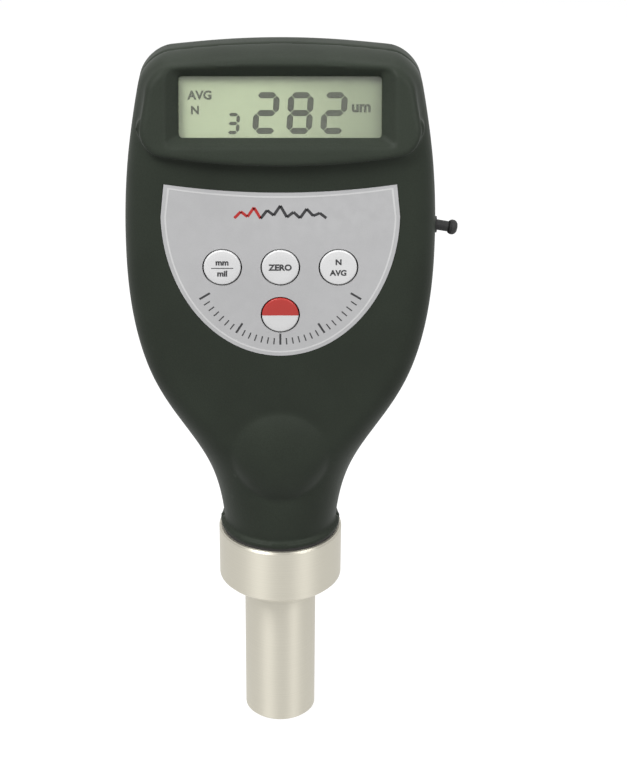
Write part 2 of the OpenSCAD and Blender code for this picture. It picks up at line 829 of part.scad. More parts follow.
// Rubber plug: a round stem in the jack and a drooping grip with a swollen end
module port_plug() {
    bulb = 0.5;
    grip_r = grip_d / 2;
    bulb_centre = [bulb, grip_len - grip_r + bulb];
    color(dark) at_port() {
        rod_x(port_d - 2 * slip_gap, plug_in, half_w + bulb);
        translate([half_w + bulb / 2, 0, 0]) rotate([0, 90 + grip_droop, 0]) rotate_extrude() polygon(concat(
            [[0, -bulb], [grip_r - bulb, -bulb], [grip_r - bulb, bulb_centre[1] - grip_r + bulb]],
            arc(bulb_centre, grip_r - bulb, -60, 90, edge_steps), [[0, bulb_centre[1] + grip_r - bulb]]));
    }
}

module keypad_film() {
    color([0.75, 0.75, 0.75]) translate([0, 0, seat_z]) difference() {
        facing(-film_back) linear_extrude(film_t) polygon(film_outline(0));
        at_places(key_places) rod_y(key_d + 2 * free_gap, -face_y - past_cut, 0);
    }
}

module key(place, shade) {
    color(shade) translate([place[0], 0, seat_z + place[1]]) {
        rod_y(key_d, -face_y - key_proud, -film_back + key_base);
        rod_y(stem_d, -film_back, -switch_top - key_travel - stem_gap);
    }
}

module key_units() {
    key(key_places[0], "white");
}

module key_zero() {
    key(key_places[1], "white");
}

module key_average() {
    key(key_places[2], "white");
}

module key_power() {
    key(key_places[3], [0.77, 0.25, 0.22]);
}

function cell_x(i) = (i - (cells + 1) / 2) * cell_pitch;
function button_up(i) = i % 2 == 1;

// Places children on the axis of cell i, with z = 0 at its plain end; every second cell is turned over
module at_cell(i) {
    clear = contact_t + contact_gap;
    low = button_up(i) ? bay_top - clear - cell_len : bay_z + clear + cell_len;
    translate([cell_x(i), cell_y, seat_z + low]) rotate([button_up(i) ? 0 : 180, 0, 0]) children();
}

module cell(i) {
    color([0.25, 0.3, 0.36]) at_cell(i) {
        cylinder(d = cell_d, h = cell_len - button_h);
        cylinder(d = button_d, h = cell_len);
    }
}

module cell_1() {
    cell(1);
}

module cell_2() {
    cell(2);
}

module cell_3() {
    cell(3);
}

module cell_4() {
    cell(4);
}

module contact_plates() {
    w = 8;
    color(steel) for (i = [1 : cells]) for (z = [bay_z, bay_top - contact_t])
        translate([cell_x(i) - w / 2, cell_y - w / 2, seat_z + z]) cube([w, w, contact_t]);
}

module contact_springs() {
    wire_r = 0.3;
    base_r = 3.3;
    tip_r = 2;
    turns = 3;
    low = -contact_len + wire_r + sliver;
    color(steel) for (i = [1 : cells]) at_cell(i)
        wire(coil(base_r, tip_r, low, -wire_r - sliver, turns, 9), wire_r, 6);
}

module case_screws() {
    color(steel) translate([0, 0, seat_z]) at_places(case_places) difference() {
        union() {
            rod_y(case_head_d, head_seat, head_seat + head_h);
            rod_y(case_screw_d, screw_tip, head_seat + sliver);
        }
        for (a = [0, 90]) rotate([0, a, 0])
            translate([-head_slot / 2, head_seat + head_h / 2, -case_head_d / 3])
                cube([head_slot, head_h, case_head_d * 2 / 3]);
    }
}

module board_screws() {
    color(steel) translate([0, 0, seat_z]) at_places(board_places) {
        rod_y(board_head_d, -board_back, -board_back + board_head_h);
        rod_y(board_screw_d, -front_inside + pilot_skin, -board_back + sliver);
    }
}

module probe_collar() {
    outer = collar_d / 2;
    low_bore = shank_r + slip_gap;
    high_bore = spigot_r + slip_gap;
    top_break = collar_chamfer / 2;
    color(steel) translate([0, 0, barrel_len]) rotate_extrude($fn = 128) polygon([
        [low_bore, 0], [outer - collar_chamfer, 0], [outer, collar_chamfer],
        [outer, collar_h - top_break], [outer - top_break, collar_h],
        [high_bore, collar_h], [high_bore, collar_web], [low_bore, collar_web]]);
}

module neck_seal() {
    color(dark) translate([0, 0, collar_top]) tube(collar_d / 2 - seal_inset, spigot_r + slip_gap, seal_t);
}

module probe_barrel() {
    r = barrel_d / 2;
    flange_r = spigot_r - slip_gap;
    coil_r = coil_bore_d / 2;
    low_r = low_bore_d / 2;
    shank_z = barrel_len - barrel_relief;
    color(steel) rotate_extrude($fn = 128) polygon([
        [low_r, foot_t], [r, foot_t], [r, shank_z], [shank_r, shank_z], [shank_r, flange_z],
        [flange_r, flange_z], [flange_r, barrel_top], [coil_r, barrel_top], [coil_r, former_z],
        [low_r, former_z]]);
}

// Flat foot round the needle, held in the barrel by a low spigot
module probe_foot() {
    r = barrel_d / 2;
    held_r = low_bore_d / 2 - slip_gap;
    seat_r = bush_r + slip_gap;
    color(steel) rotate_extrude($fn = 128) polygon([
        [needle_hole, 0], [r - foot_chamfer, 0], [r, foot_chamfer], [r, foot_t], [held_r, foot_t],
        [held_r, foot_top], [seat_r, foot_top], [seat_r, foot_web], [needle_hole, foot_web]]);
}

module lower_bush() {
    bore = spindle_d / 2 + run_gap;
    flange_r = low_bore_d / 2 - slip_gap;
    sleeve_z = foot_top + bush_flange;
    color(brass) rotate_extrude() polygon([
        [bore, foot_web], [bush_r, foot_web], [bush_r, foot_top], [flange_r, foot_top], [flange_r, sleeve_z],
        [sleeve_r, sleeve_z], [sleeve_r, bush_top], [bore, bush_top]]);
}

module upper_bush() {
    color(brass) translate([0, 0, upper_bush_z])
        tube(coil_bore_d / 2 - slip_gap, spindle_d / 2 + run_gap, bush_flange);
}

module spindle() {
    color(steel) difference() {
        union() {
            translate([0, 0, spindle_z]) cylinder(d = spindle_d, h = spindle_top - spindle_z);
            translate([0, 0, spring_z - spring_seat_t]) cylinder(r = spring_seat_r, h = spring_seat_t);
        }
        translate([0, 0, spindle_z - past_cut]) cylinder(d = needle_d, h = needle_grip + past_cut);
    }
}

module needle() {
    r = needle_d / 2;
    color([0.35, 0.36, 0.38]) rotate_extrude()
        polygon([[0, 0], [r, cone_h], [r, needle_top], [0, needle_top]]);
}

module return_spring() {
    r = spring_wire / 2;
    per_turn = 12;
    color(steel) wire(coil(spring_mean_r, spring_mean_r, spring_z + r + sliver, former_z - r - sliver,
        spring_turns, per_turn), r, 6);
}

module sensor_core() {
    color([0.3, 0.28, 0.27]) translate([0, 0, core_z]) tube(core_d / 2, spindle_d / 2, core_len);
}

module coil_former() {
    color(pale) translate([0, 0, former_z]) difference() {
        union() {
            cylinder(r = tube_r + tube_t, h = former_len);
            for (i = [0 : windings]) translate([0, 0, i * winding_pitch])
                cylinder(r = coil_bore_d / 2 - slip_gap, h = former_flange_t);
        }
        translate([0, 0, -past_cut]) cylinder(r = tube_r, h = former_len + 2 * past_cut);
    }
}

module coil_windings() {
    color(copper) for (i = [0 : windings - 1])
        translate([0, 0, former_z + former_flange_t + i * winding_pitch])
            tube(coil_bore_d / 2 - winding_inset, tube_r + tube_t, winding_len);
}

module barrel_cap() {
    color(steel) translate([0, 0, cap_z]) tube(coil_bore_d / 2 - slip_gap, lead_hole_r, cap_t);
}

// Route of the sensor lead from the cap up the neck to its socket on the board
lead_rise = 8;
lead_end = [0, socket_t / 2 - board_back, seat_z + board_low + socket_rise];
lead_low = barrel_top + lead_rise;
lead_route = [
    [0, 0, cap_z + free_gap], [0, 0, barrel_top + lead_rise / 2], [0, 0, lead_low],
    [0, 0.3 * lead_end[1], mix(lead_low, lead_end[2], 0.35)],
    [0, 0.8 * lead_end[1], mix(lead_low, lead_end[2], 0.7)],
    [0, lead_end[1], mix(lead_low, lead_end[2], 0.85)], lead_end];

module sensor_lead() {
    color(dark) wire(lead_route, lead_d / 2, 8);
}

front_shell();
rear_shell();
battery_door();
display_lens();
display_glass();
display_carrier();
display_ribbon();
main_board();
controller_chip();
key_switches();
lead_socket();
data_jack();
port_plug();
keypad_film();
key_units();
key_zero();
key_average();
key_power();
cell_1();
cell_2();
cell_3();
cell_4();
contact_plates();
contact_springs();
case_screws();
board_screws();
probe_collar();
neck_seal();
probe_barrel();
probe_foot();
lower_bush();
upper_bush();
spindle();
needle();
return_spring();
sensor_core();
coil_former();
coil_windings();
barrel_cap();
sensor_lead();
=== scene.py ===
"""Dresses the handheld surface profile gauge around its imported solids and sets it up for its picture."""
import logging
import math
from dataclasses import dataclass, field
from enum import Enum
from typing import Iterable, Sequence

import bmesh
import bpy
import numpy as np
import openvdb
from mathutils import Matrix, Vector


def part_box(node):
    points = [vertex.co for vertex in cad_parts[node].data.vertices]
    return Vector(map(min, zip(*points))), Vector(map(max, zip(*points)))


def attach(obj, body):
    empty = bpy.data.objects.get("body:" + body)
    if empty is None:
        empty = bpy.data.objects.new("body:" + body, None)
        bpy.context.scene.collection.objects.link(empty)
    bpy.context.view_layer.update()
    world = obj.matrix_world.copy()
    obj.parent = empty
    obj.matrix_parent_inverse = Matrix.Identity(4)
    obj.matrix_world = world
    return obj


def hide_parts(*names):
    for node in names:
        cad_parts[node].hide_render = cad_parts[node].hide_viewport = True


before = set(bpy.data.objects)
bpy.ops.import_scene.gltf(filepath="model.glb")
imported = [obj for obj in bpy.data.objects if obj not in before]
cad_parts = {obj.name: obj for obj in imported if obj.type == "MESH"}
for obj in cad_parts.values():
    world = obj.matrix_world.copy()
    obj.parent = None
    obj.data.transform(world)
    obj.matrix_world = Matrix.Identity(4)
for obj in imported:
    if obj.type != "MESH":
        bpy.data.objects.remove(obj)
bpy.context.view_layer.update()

MM = 0.001
PAST = 1.0  # how far a cutter passes the face that it cuts, in millimetres
HOUSING = "housing"
KEYS = ("key_units", "key_zero", "key_average", "key_power")
log = logging.getLogger("gauge")

Colour = tuple[float, float, float]
Point2 = tuple[float, float]


def srgb(red: int, green: int, blue: int) -> Colour:
    """Turns a screen colour from 0 to 255 into linear light."""
    return tuple(((c / 255 + 0.055) / 1.055) ** 2.4 if c > 10 else c / 3294.6 for c in (red, green, blue))


def ease(t: np.ndarray) -> np.ndarray:
    """Smooth step from 0 to 1."""
    u = np.clip(t, 0.0, 1.0)
    return u * u * (3 - 2 * u)


def round_max(a: np.ndarray, b: np.ndarray, r: np.ndarray | float) -> np.ndarray:
    """Meets two distance fields in a rounded outer edge.

    Args:
        a: Signed distances, negative inside.
        b: Signed distances of the other form.
        r: Radius of the edge.

    Returns:
        Signed distances of what lies in both forms.
    """
    return np.minimum(np.maximum(a, b), -r) + np.hypot(np.maximum(a + r, 0), np.maximum(b + r, 0))


def round_min(a: np.ndarray, b: np.ndarray, r: np.ndarray | float) -> np.ndarray:
    """Joins two distance fields with a rounded inner corner of radius r."""
    return -round_max(-a, -b, r)


class Pattern(Enum):
    """What the detail of a finish looks like."""

    MOULDED = "moulded"
    SATIN = "satin"
    TURNED = "turned"
    WOUND = "wound"
    PLATED = "plated"
    BOARD = "board"
    SLEEVE = "sleeve"
    TWO_TONE = "two tone"
    # display glass: its second colour is painted shade, darker towards its right side
    CRYSTAL_WITH_PAINTED_SHADE = "crystal_with_painted_shade"
    CLEAR = "clear"


# patterns with a second colour: print, and the painted shade of the display glass
PRINTED_OR_PAINTED_SHADE = (Pattern.BOARD, Pattern.SLEEVE, Pattern.TWO_TONE, Pattern.CRYSTAL_WITH_PAINTED_SHADE, Pattern.WOUND)


@dataclass(frozen=True)
class Finish:
    """One finish of the gauge: its colours, gloss and the scale of its detail."""

    name: str
    slot: str
    pattern: Pattern
    colour: Colour
    other: Colour
    roughness: float
    metallic: float = 0.0
    grain_mm: float = 0.3
    relief_mm: float = 0.01
    wear: float = 0.15
    coat: float = 0.0
    gloss: float = 0.5


class Finishes:
    """Makes the materials, and the node groups that they share."""

    def __init__(self) -> None:
        """Builds the shared groups once."""
        self.grain = self._grain_group()
        self.lathe = self._lathe_group()
        self.wear = self._wear_group()
        self.made: dict[str, bpy.types.Material] = {}

    @staticmethod
    def _group(name: str, inputs: Sequence[tuple[str, str, object]],
               outputs: Sequence[tuple[str, str]]) -> bpy.types.NodeTree:
        """Starts a shader group with named sockets.

        Args:
            name: Name of the group.
            inputs: Socket name, socket type and default of each input.
            outputs: Socket name and socket type of each output.

        Returns:
            The new group, with its input and output nodes.
        """
        tree = bpy.data.node_groups.new(name, "ShaderNodeTree")
        for label, kind, value in inputs:
            tree.interface.new_socket(label, in_out="INPUT", socket_type=kind).default_value = value
        for label, kind in outputs:
            tree.interface.new_socket(label, in_out="OUTPUT", socket_type=kind)
        tree.nodes.new("NodeGroupInput").name = "in"
        tree.nodes.new("NodeGroupOutput").name = "out"
        return tree

    def _grain_group(self) -> bpy.types.NodeTree:
        """Fine cellular grain over a slow drift: colour, roughness and height.

        Returns:
            The group.
        """
        tree = self._group("surface_grain", [
            ("Colour", "NodeSocketColor", (0.5, 0.5, 0.5, 1)), ("Other", "NodeSocketColor", (0.4, 0.4, 0.4, 1)),
            ("Roughness", "NodeSocketFloat", 0.5), ("Scale", "NodeSocketFloat", 3000.0),
            ("Drift", "NodeSocketFloat", 60.0)],
            [("Colour", "NodeSocketColor"), ("Roughness", "NodeSocketFloat"), ("Height", "NodeSocketFloat")])
        nodes, link = tree.nodes, tree.links.new
        place = nodes.new("ShaderNodeTexCoord")
        fine = nodes.new("ShaderNodeTexNoise")
        fine.inputs["Detail"].default_value = 3.0
        pits = nodes.new("ShaderNodeTexVoronoi")
        slow = nodes.new("ShaderNodeTexNoise")
        slow.inputs["Detail"].default_value = 4.0
        for texture in (fine, pits, slow):
            link(place.outputs["Object"], texture.inputs["Vector"])
        link(nodes["in"].outputs["Scale"], fine.inputs["Scale"])
        link(nodes["in"].outputs["Scale"], pits.inputs["Scale"])
        link(nodes["in"].outputs["Drift"], slow.inputs["Scale"])
        shade = nodes.new("ShaderNodeMix")
        shade.data_type = "RGBA"
        link(nodes["in"].outputs["Colour"], shade.inputs["A"])
        link(nodes["in"].outputs["Other"], shade.inputs["B"])
        blend = self._math(tree, "ADD", self._math(tree, "MULTIPLY", slow.outputs["Fac"], 0.6),
                           self._math(tree, "MULTIPLY", fine.outputs["Fac"], 0.4))
        spread = self._ramp(tree, blend, 0.35, 0.65)
        link(spread, shade.inputs["Factor"])
        link(shade.outputs["Result"], nodes["out"].inputs["Colour"])
        uneven = self._math(tree, "MULTIPLY_ADD", slow.outputs["Fac"], 0.22, nodes["in"].outputs["Roughness"])
        link(self._math(tree, "SUBTRACT", uneven, 0.11), nodes["out"].inputs["Roughness"])
        bumps = self._math(tree, "MULTIPLY_ADD", pits.outputs["Distance"], 0.5, fine.outputs["Fac"])
        link(bumps, nodes["out"].inputs["Height"])
        return tree

    def _lathe_group(self) -> bpy.types.NodeTree:
        """Fine tool marks round the probe axis: colour, roughness and height.

        Returns:
            The group.
        """
        tree = self._group("lathe_marks", [
            ("Colour", "NodeSocketColor", (0.6, 0.6, 0.6, 1)), ("Other", "NodeSocketColor", (0.5, 0.5, 0.5, 1)),
            ("Roughness", "NodeSocketFloat", 0.3), ("Scale", "NodeSocketFloat", 3000.0)],
            [("Colour", "NodeSocketColor"), ("Roughness", "NodeSocketFloat"), ("Height", "NodeSocketFloat")])
        nodes, link = tree.nodes, tree.links.new
        place = nodes.new("ShaderNodeTexCoord")
        split = nodes.new("ShaderNodeSeparateXYZ")
        link(place.outputs["Object"], split.inputs["Vector"])
        radius = self._math(tree, "SQRT", self._math(
            tree, "ADD", self._math(tree, "MULTIPLY", split.outputs["X"], split.outputs["X"]),
            self._math(tree, "MULTIPLY", split.outputs["Y"], split.outputs["Y"])), 0.0)
        along = nodes.new("ShaderNodeCombineXYZ")
        link(radius, along.inputs["X"])
        link(split.outputs["Z"], along.inputs["Z"])
        fine = nodes.new("ShaderNodeTexNoise")
        fine.inputs["Detail"].default_value = 4.0
        link(along.outputs["Vector"], fine.inputs["Vector"])
        link(nodes["in"].outputs["Scale"], fine.inputs["Scale"])
        slow = nodes.new("ShaderNodeTexNoise")
        slow.inputs["Scale"].default_value = 90.0
        link(place.outputs["Object"], slow.inputs["Vector"])
        shade = nodes.new("ShaderNodeMix")
        shade.data_type = "RGBA"
        link(nodes["in"].outputs["Colour"], shade.inputs["A"])
        link(nodes["in"].outputs["Other"], shade.inputs["B"])
        mixed = self._math(tree, "MULTIPLY_ADD", slow.outputs["Fac"], 0.1,
                           self._math(tree, "MULTIPLY", fine.outputs["Fac"], 0.9))
        link(self._ramp(tree, mixed, 0.35, 0.65), shade.inputs["Factor"])
        link(shade.outputs["Result"], nodes["out"].inputs["Colour"])
        uneven = self._math(tree, "MULTIPLY_ADD", fine.outputs["Fac"], 0.2, nodes["in"].outputs["Roughness"])
        link(self._math(tree, "SUBTRACT", uneven, 0.1), nodes["out"].inputs["Roughness"])
        link(fine.outputs["Fac"], nodes["out"].inputs["Height"])
        return tree

    def _wear_group(self) -> bpy.types.NodeTree:
        """Rubbed outer edges, in patches: colour over colour.

        Returns:
            The group.
        """
        tree = self._group("edge_rub", [
            ("Colour", "NodeSocketColor", (0.5, 0.5, 0.5, 1)), ("Rubbed", "NodeSocketColor", (0.7, 0.7, 0.7, 1)),
            ("Amount", "NodeSocketFloat", 0.2)], [("Colour", "NodeSocketColor")])
        nodes, link = tree.nodes, tree.links.new
        shape = nodes.new("ShaderNodeNewGeometry")
        place = nodes.new("ShaderNodeTexCoord")
        patchy = nodes.new("ShaderNodeTexNoise")
        patchy.inputs["Scale"].default_value = 350.0
        link(place.outputs["Object"], patchy.inputs["Vector"])
        edge = self._ramp(tree, shape.outputs["Pointiness"], 0.53, 0.64)
        spotted = self._math(tree, "MULTIPLY", edge, self._ramp(tree, patchy.outputs["Fac"], 0.3, 0.7))
        over = nodes.new("ShaderNodeMix")
        over.data_type = "RGBA"
        link(nodes["in"].outputs["Colour"], over.inputs["A"])
        link(nodes["in"].outputs["Rubbed"], over.inputs["B"])
        link(self._math(tree, "MULTIPLY", spotted, nodes["in"].outputs["Amount"]), over.inputs["Factor"])
        link(over.outputs["Result"], nodes["out"].inputs["Colour"])
        return tree

    @staticmethod
    def _math(tree: bpy.types.NodeTree, operation: str, *values: object) -> bpy.types.NodeSocket:
        """Adds a math node fed by sockets or plain numbers.

        Args:
            tree: Tree that takes the node.
            operation: Name of the operation.
            values: A socket or a number for each input.

        Returns:
            The node's output.
        """
        node = tree.nodes.new("ShaderNodeMath")
        node.operation = operation
        for slot, value in zip(node.inputs, values):
            if isinstance(value, bpy.types.NodeSocket):
                tree.links.new(value, slot)
            else:
                slot.default_value = value
        return node.outputs[0]

    @staticmethod
    def _ramp(tree: bpy.types.NodeTree, value: bpy.types.NodeSocket, low: float, high: float) -> bpy.types.NodeSocket:
        """Spreads a value from low to high over 0 to 1, smoothly.

        Args:
            tree: Tree that takes the node.
            value: The value to spread.
            low: Value that gives 0.
            high: Value that gives 1.

        Returns:
            The node's output.
        """
        node = tree.nodes.new("ShaderNodeMapRange")
        node.interpolation_type = "SMOOTHSTEP"
        node.inputs["From Min"].default_value = low
        node.inputs["From Max"].default_value = high
        tree.links.new(value, node.inputs["Value"])
        return node.outputs["Result"]

    def material(self, finish: Finish) -> bpy.types.Material:
        """Gives the material of a finish, made on first use.

        Args:
            finish: The finish to make.

        Returns:
            Its material.
        """
        if finish.name in self.made:
            return self.made[finish.name]
        paint = bpy.data.materials.new(finish.name)
        paint.use_nodes = True
        tree = paint.node_tree
        surface = tree.nodes["Principled BSDF"]
        surface.inputs["Metallic"].default_value = finish.metallic
        surface.inputs["Coat Weight"].default_value = finish.coat
        surface.inputs["Specular IOR Level"].default_value = finish.gloss
        if finish.pattern is Pattern.CLEAR:
            self._clear(tree, surface, finish)
        else:
            self._solid(tree, surface, finish)
        self.made[finish.name] = paint
        return paint

    def _solid(self, tree: bpy.types.NodeTree, surface: bpy.types.Node, finish: Finish) -> None:
        """Wires an opaque finish: detail, rubbed edges and relief.

        Args:
            tree: The material's nodes.
            surface: Its shader.
            finish: The finish to follow.
        """
        link = tree.links.new
        detail = tree.nodes.new("ShaderNodeGroup")
        turned = finish.pattern in (Pattern.TURNED, Pattern.WOUND)
        if finish.pattern is Pattern.TURNED:
            round_axis = tree.nodes.new("ShaderNodeTangent")
            round_axis.direction_type, round_axis.axis = "RADIAL", "Z"
            link(round_axis.outputs["Tangent"], surface.inputs["Tangent"])
            surface.inputs["Anisotropic"].default_value = 0.85
            surface.inputs["Anisotropic Rotation"].default_value = 0.25
        detail.node_tree = self.lathe if turned else self.grain
        detail.inputs["Colour"].default_value = (*finish.colour, 1)
        speck = tuple(c * 0.93 for c in finish.colour) if finish.pattern in PRINTED_OR_PAINTED_SHADE else finish.other
        detail.inputs["Other"].default_value = (*speck, 1)
        detail.inputs["Roughness"].default_value = finish.roughness
        detail.inputs["Scale"].default_value = 1 / (finish.grain_mm * MM)
        colour = self._print_or_painted_shade(tree, detail.outputs["Colour"], finish)
        rub = tree.nodes.new("ShaderNodeGroup")
        rub.node_tree = self.wear
        link(colour, rub.inputs["Colour"])
        rub.inputs["Rubbed"].default_value = (*(min(1.0, c * 1.6 + 0.03) for c in finish.colour), 1)
        rub.inputs["Amount"].default_value = finish.wear
        link(rub.outputs["Colour"], surface.inputs["Base Color"])
        link(detail.outputs["Roughness"], surface.inputs["Roughness"])
        relief = tree.nodes.new("ShaderNodeBump")
        relief.inputs["Distance"].default_value = finish.relief_mm * MM
        relief.inputs["Strength"].default_value = 1.0
        link(detail.outputs["Height"], relief.inputs["Height"])
        link(relief.outputs["Normal"], surface.inputs["Normal"])

    def _print_or_painted_shade(self, tree: bpy.types.NodeTree, base: bpy.types.NodeSocket, finish: Finish) -> bpy.types.NodeSocket:
        """Lays the second colour of a patterned finish over its base; on the display glass that second colour is
        painted shade, darker towards the right.

        Args:
            tree: The material's nodes.
            base: Colour below.
            finish: The finish to follow.

        Returns:
            The colour with its print.
        """
        if finish.pattern not in PRINTED_OR_PAINTED_SHADE:
            return base
        link = tree.links.new
        place = tree.nodes.new("ShaderNodeTexCoord")
        split = tree.nodes.new("ShaderNodeSeparateXYZ")
        over = tree.nodes.new("ShaderNodeMix")
        over.data_type = "RGBA"
        link(base, over.inputs["A"])
        over.inputs["B"].default_value = (*finish.other, 1)
        if finish.pattern is Pattern.BOARD:
            tracks = tree.nodes.new("ShaderNodeTexBrick")
            tracks.inputs["Scale"].default_value = 330.0
            tracks.inputs["Mortar Size"].default_value = 0.03
            tracks.inputs["Color1"].default_value = (0, 0, 0, 1)
            tracks.inputs["Color2"].default_value = (0, 0, 0, 1)
            tracks.inputs["Mortar"].default_value = (1, 1, 1, 1)
            turn = tree.nodes.new("ShaderNodeMapping")
            turn.inputs["Rotation"].default_value = (math.pi / 2, 0, 0)
            link(place.outputs["Object"], turn.inputs["Vector"])
            link(turn.outputs["Vector"], tracks.inputs["Vector"])
            link(tracks.outputs["Color"], over.inputs["Factor"])
        elif finish.pattern is Pattern.WOUND:
            turns = tree.nodes.new("ShaderNodeTexWave")
            turns.bands_direction = "Z"
            turns.inputs["Scale"].default_value = 1600.0
            link(place.outputs["Object"], turns.inputs["Vector"])
            link(turns.outputs["Fac"], over.inputs["Factor"])
        else:
            link(place.outputs["Generated"], split.inputs["Vector"])
            axis, low, high = {
                Pattern.SLEEVE: ("Z", 0.70, 0.705), Pattern.TWO_TONE: ("Z", 0.485, 0.50),
                # painted shade: the display glass darkens across its width towards its right side
                Pattern.CRYSTAL_WITH_PAINTED_SHADE: ("X", 0.35, 1.1),
            }[finish.pattern]
            link(self._ramp(tree, split.outputs[axis], low, high), over.inputs["Factor"])
        return over.outputs["Result"]

    @staticmethod
    def _clear(tree: bpy.types.NodeTree, surface: bpy.types.Node, finish: Finish) -> None:
        """Wires clear glass that lets lamps shine through it.

        Args:
            tree: The material's nodes.
            surface: Its shader.
            finish: The finish to follow.
        """
        surface.inputs["Base Color"].default_value = (*finish.colour, 1)
        surface.inputs["Roughness"].default_value = finish.roughness
        surface.inputs["Transmission Weight"].default_value = 1.0
        surface.inputs["IOR"].default_value = 1.49
        see_through = tree.nodes.new("ShaderNodeBsdfTransparent")
        path = tree.nodes.new("ShaderNodeLightPath")
        pick = tree.nodes.new("ShaderNodeMixShader")
        tree.links.new(path.outputs["Is Shadow Ray"], pick.inputs["Fac"])
        tree.links.new(surface.outputs["BSDF"], pick.inputs[1])
        tree.links.new(see_through.outputs["BSDF"], pick.inputs[2])
        tree.links.new(pick.outputs["Shader"], tree.nodes["Material Output"].inputs["Surface"])


BODY_PLASTIC = Finish("body_plastic", "body_plastic", Pattern.MOULDED, srgb(54, 60, 52), srgb(49, 54, 47), 0.5,
                      grain_mm=0.32, relief_mm=0.02, wear=0.2, gloss=0.1)
FILM_GREY = Finish("film_grey", "keypad_film", Pattern.SATIN, srgb(203, 203, 204), srgb(197, 197, 198), 0.38,
                   grain_mm=0.15, relief_mm=0.002, wear=0.1)
FILM_PALE = Finish("film_pale", "keypad_film", Pattern.SATIN, srgb(232, 232, 232), srgb(222, 222, 222), 0.4,
                   grain_mm=0.15, relief_mm=0.002, wear=0.0)
INK_DARK = Finish("ink_dark", "keypad_film", Pattern.SATIN, srgb(44, 44, 46), srgb(58, 58, 60), 0.45,
                  grain_mm=0.12, relief_mm=0.001, wear=0.0)
INK_RED = Finish("ink_red", "keypad_film", Pattern.SATIN, srgb(196, 50, 46), srgb(186, 44, 42), 0.45,
                 grain_mm=0.12, relief_mm=0.001, wear=0.0)
KEY_WHITE = Finish("key_white", "key_white", Pattern.SATIN, srgb(246, 246, 246), srgb(236, 236, 237), 0.36,
                   grain_mm=0.2, relief_mm=0.002, wear=0.05)
KEY_TWO = Finish("key_two", "key_red", Pattern.TWO_TONE, srgb(242, 242, 242), srgb(192, 58, 52), 0.36,
                 grain_mm=0.2, relief_mm=0.002, wear=0.0)
LENS_CLEAR = Finish("lens_clear", "clear_lens", Pattern.CLEAR, (0.96, 0.98, 0.94), (1, 1, 1), 0.02)
# the display glass's second colour is painted shade, laid darker towards its right side
CRYSTAL_WITH_PAINTED_SHADE = Finish("crystal_with_painted_shade", "display_glass", Pattern.CRYSTAL_WITH_PAINTED_SHADE, srgb(133, 141, 117), srgb(97, 104, 85), 0.35,
                 grain_mm=0.2, relief_mm=0.001, wear=0.0)
SEGMENT = Finish("segment", "display_glass", Pattern.SATIN, srgb(36, 40, 27), srgb(44, 48, 34), 0.4,
                 grain_mm=0.2, relief_mm=0.001, wear=0.0)
PROBE_STEEL = Finish("probe_steel", "probe_steel", Pattern.TURNED, srgb(203, 199, 186), srgb(197, 193, 180), 0.46,
                     metallic=1.0, grain_mm=0.2, relief_mm=0.0012, wear=0.0)
PLATED = Finish("plated_steel", "small_steel", Pattern.PLATED, srgb(205, 205, 204), srgb(184, 184, 182), 0.3,
                metallic=1.0, grain_mm=0.4, relief_mm=0.004, wear=0.2)
HARD_METAL = Finish("hard_metal", "hard_metal", Pattern.TURNED, srgb(120, 121, 124), srgb(100, 101, 104), 0.25,
                    metallic=1.0, grain_mm=0.05, relief_mm=0.002)
FERRITE = Finish("ferrite", "ferrite", Pattern.MOULDED, srgb(78, 72, 70), srgb(66, 60, 58), 0.6, grain_mm=0.1)
BRASS = Finish("turned_brass", "brass", Pattern.TURNED, srgb(196, 164, 96), srgb(176, 144, 80), 0.28, metallic=1.0,
               grain_mm=0.1, relief_mm=0.004)
RIBBON = Finish("ribbon_film", "brass", Pattern.SATIN, srgb(188, 122, 44), srgb(170, 104, 36), 0.4, grain_mm=0.6)
COPPER = Finish("wound_copper", "copper", Pattern.WOUND, srgb(186, 98, 54), srgb(120, 54, 28), 0.35, metallic=1.0,
                grain_mm=0.1, relief_mm=0.03)
RUBBER = Finish("black_rubber", "black_rubber", Pattern.MOULDED, srgb(34, 34, 34), srgb(27, 27, 27), 0.62,
                grain_mm=0.2, relief_mm=0.008, wear=0.3)
BOARD = Finish("solder_mask", "board", Pattern.BOARD, srgb(22, 92, 52), srgb(58, 128, 80), 0.35, grain_mm=0.5, coat=0.3)
CHIP = Finish("chip_plastic", "chip_plastic", Pattern.MOULDED, srgb(38, 38, 40), srgb(31, 31, 33), 0.55, grain_mm=0.15)
PALE = Finish("pale_plastic", "pale_plastic", Pattern.MOULDED, srgb(218, 210, 186), srgb(206, 197, 170), 0.5)
CELL = Finish("cell_sleeve", "cell_can", Pattern.SLEEVE, srgb(62, 74, 90), srgb(186, 190, 194), 0.3, metallic=0.4,
              grain_mm=0.3, relief_mm=0.002, coat=0.4)

NODE_FINISHES: dict[str, Finish] = {
    "display_glass": CRYSTAL_WITH_PAINTED_SHADE,
    **dict.fromkeys(("probe_collar", "probe_barrel", "probe_foot", "barrel_cap"), PROBE_STEEL),
    **dict.fromkeys(("contact_plates", "contact_springs", "case_screws", "board_screws", "spindle",
                     "return_spring"), PLATED),
    "needle": HARD_METAL, "sensor_core": FERRITE, "lower_bush": BRASS, "upper_bush": BRASS, "display_ribbon": RIBBON,
    "coil_windings": COPPER, **dict.fromkeys(("port_plug", "neck_seal", "sensor_lead"), RUBBER), "main_board": BOARD,
    **dict.fromkeys(("controller_chip", "key_switches", "data_jack", "display_carrier"), CHIP),
    **dict.fromkeys(("lead_socket", "coil_former"), PALE), **dict.fromkeys([f"cell_{i}" for i in range(1, 5)], CELL),
}


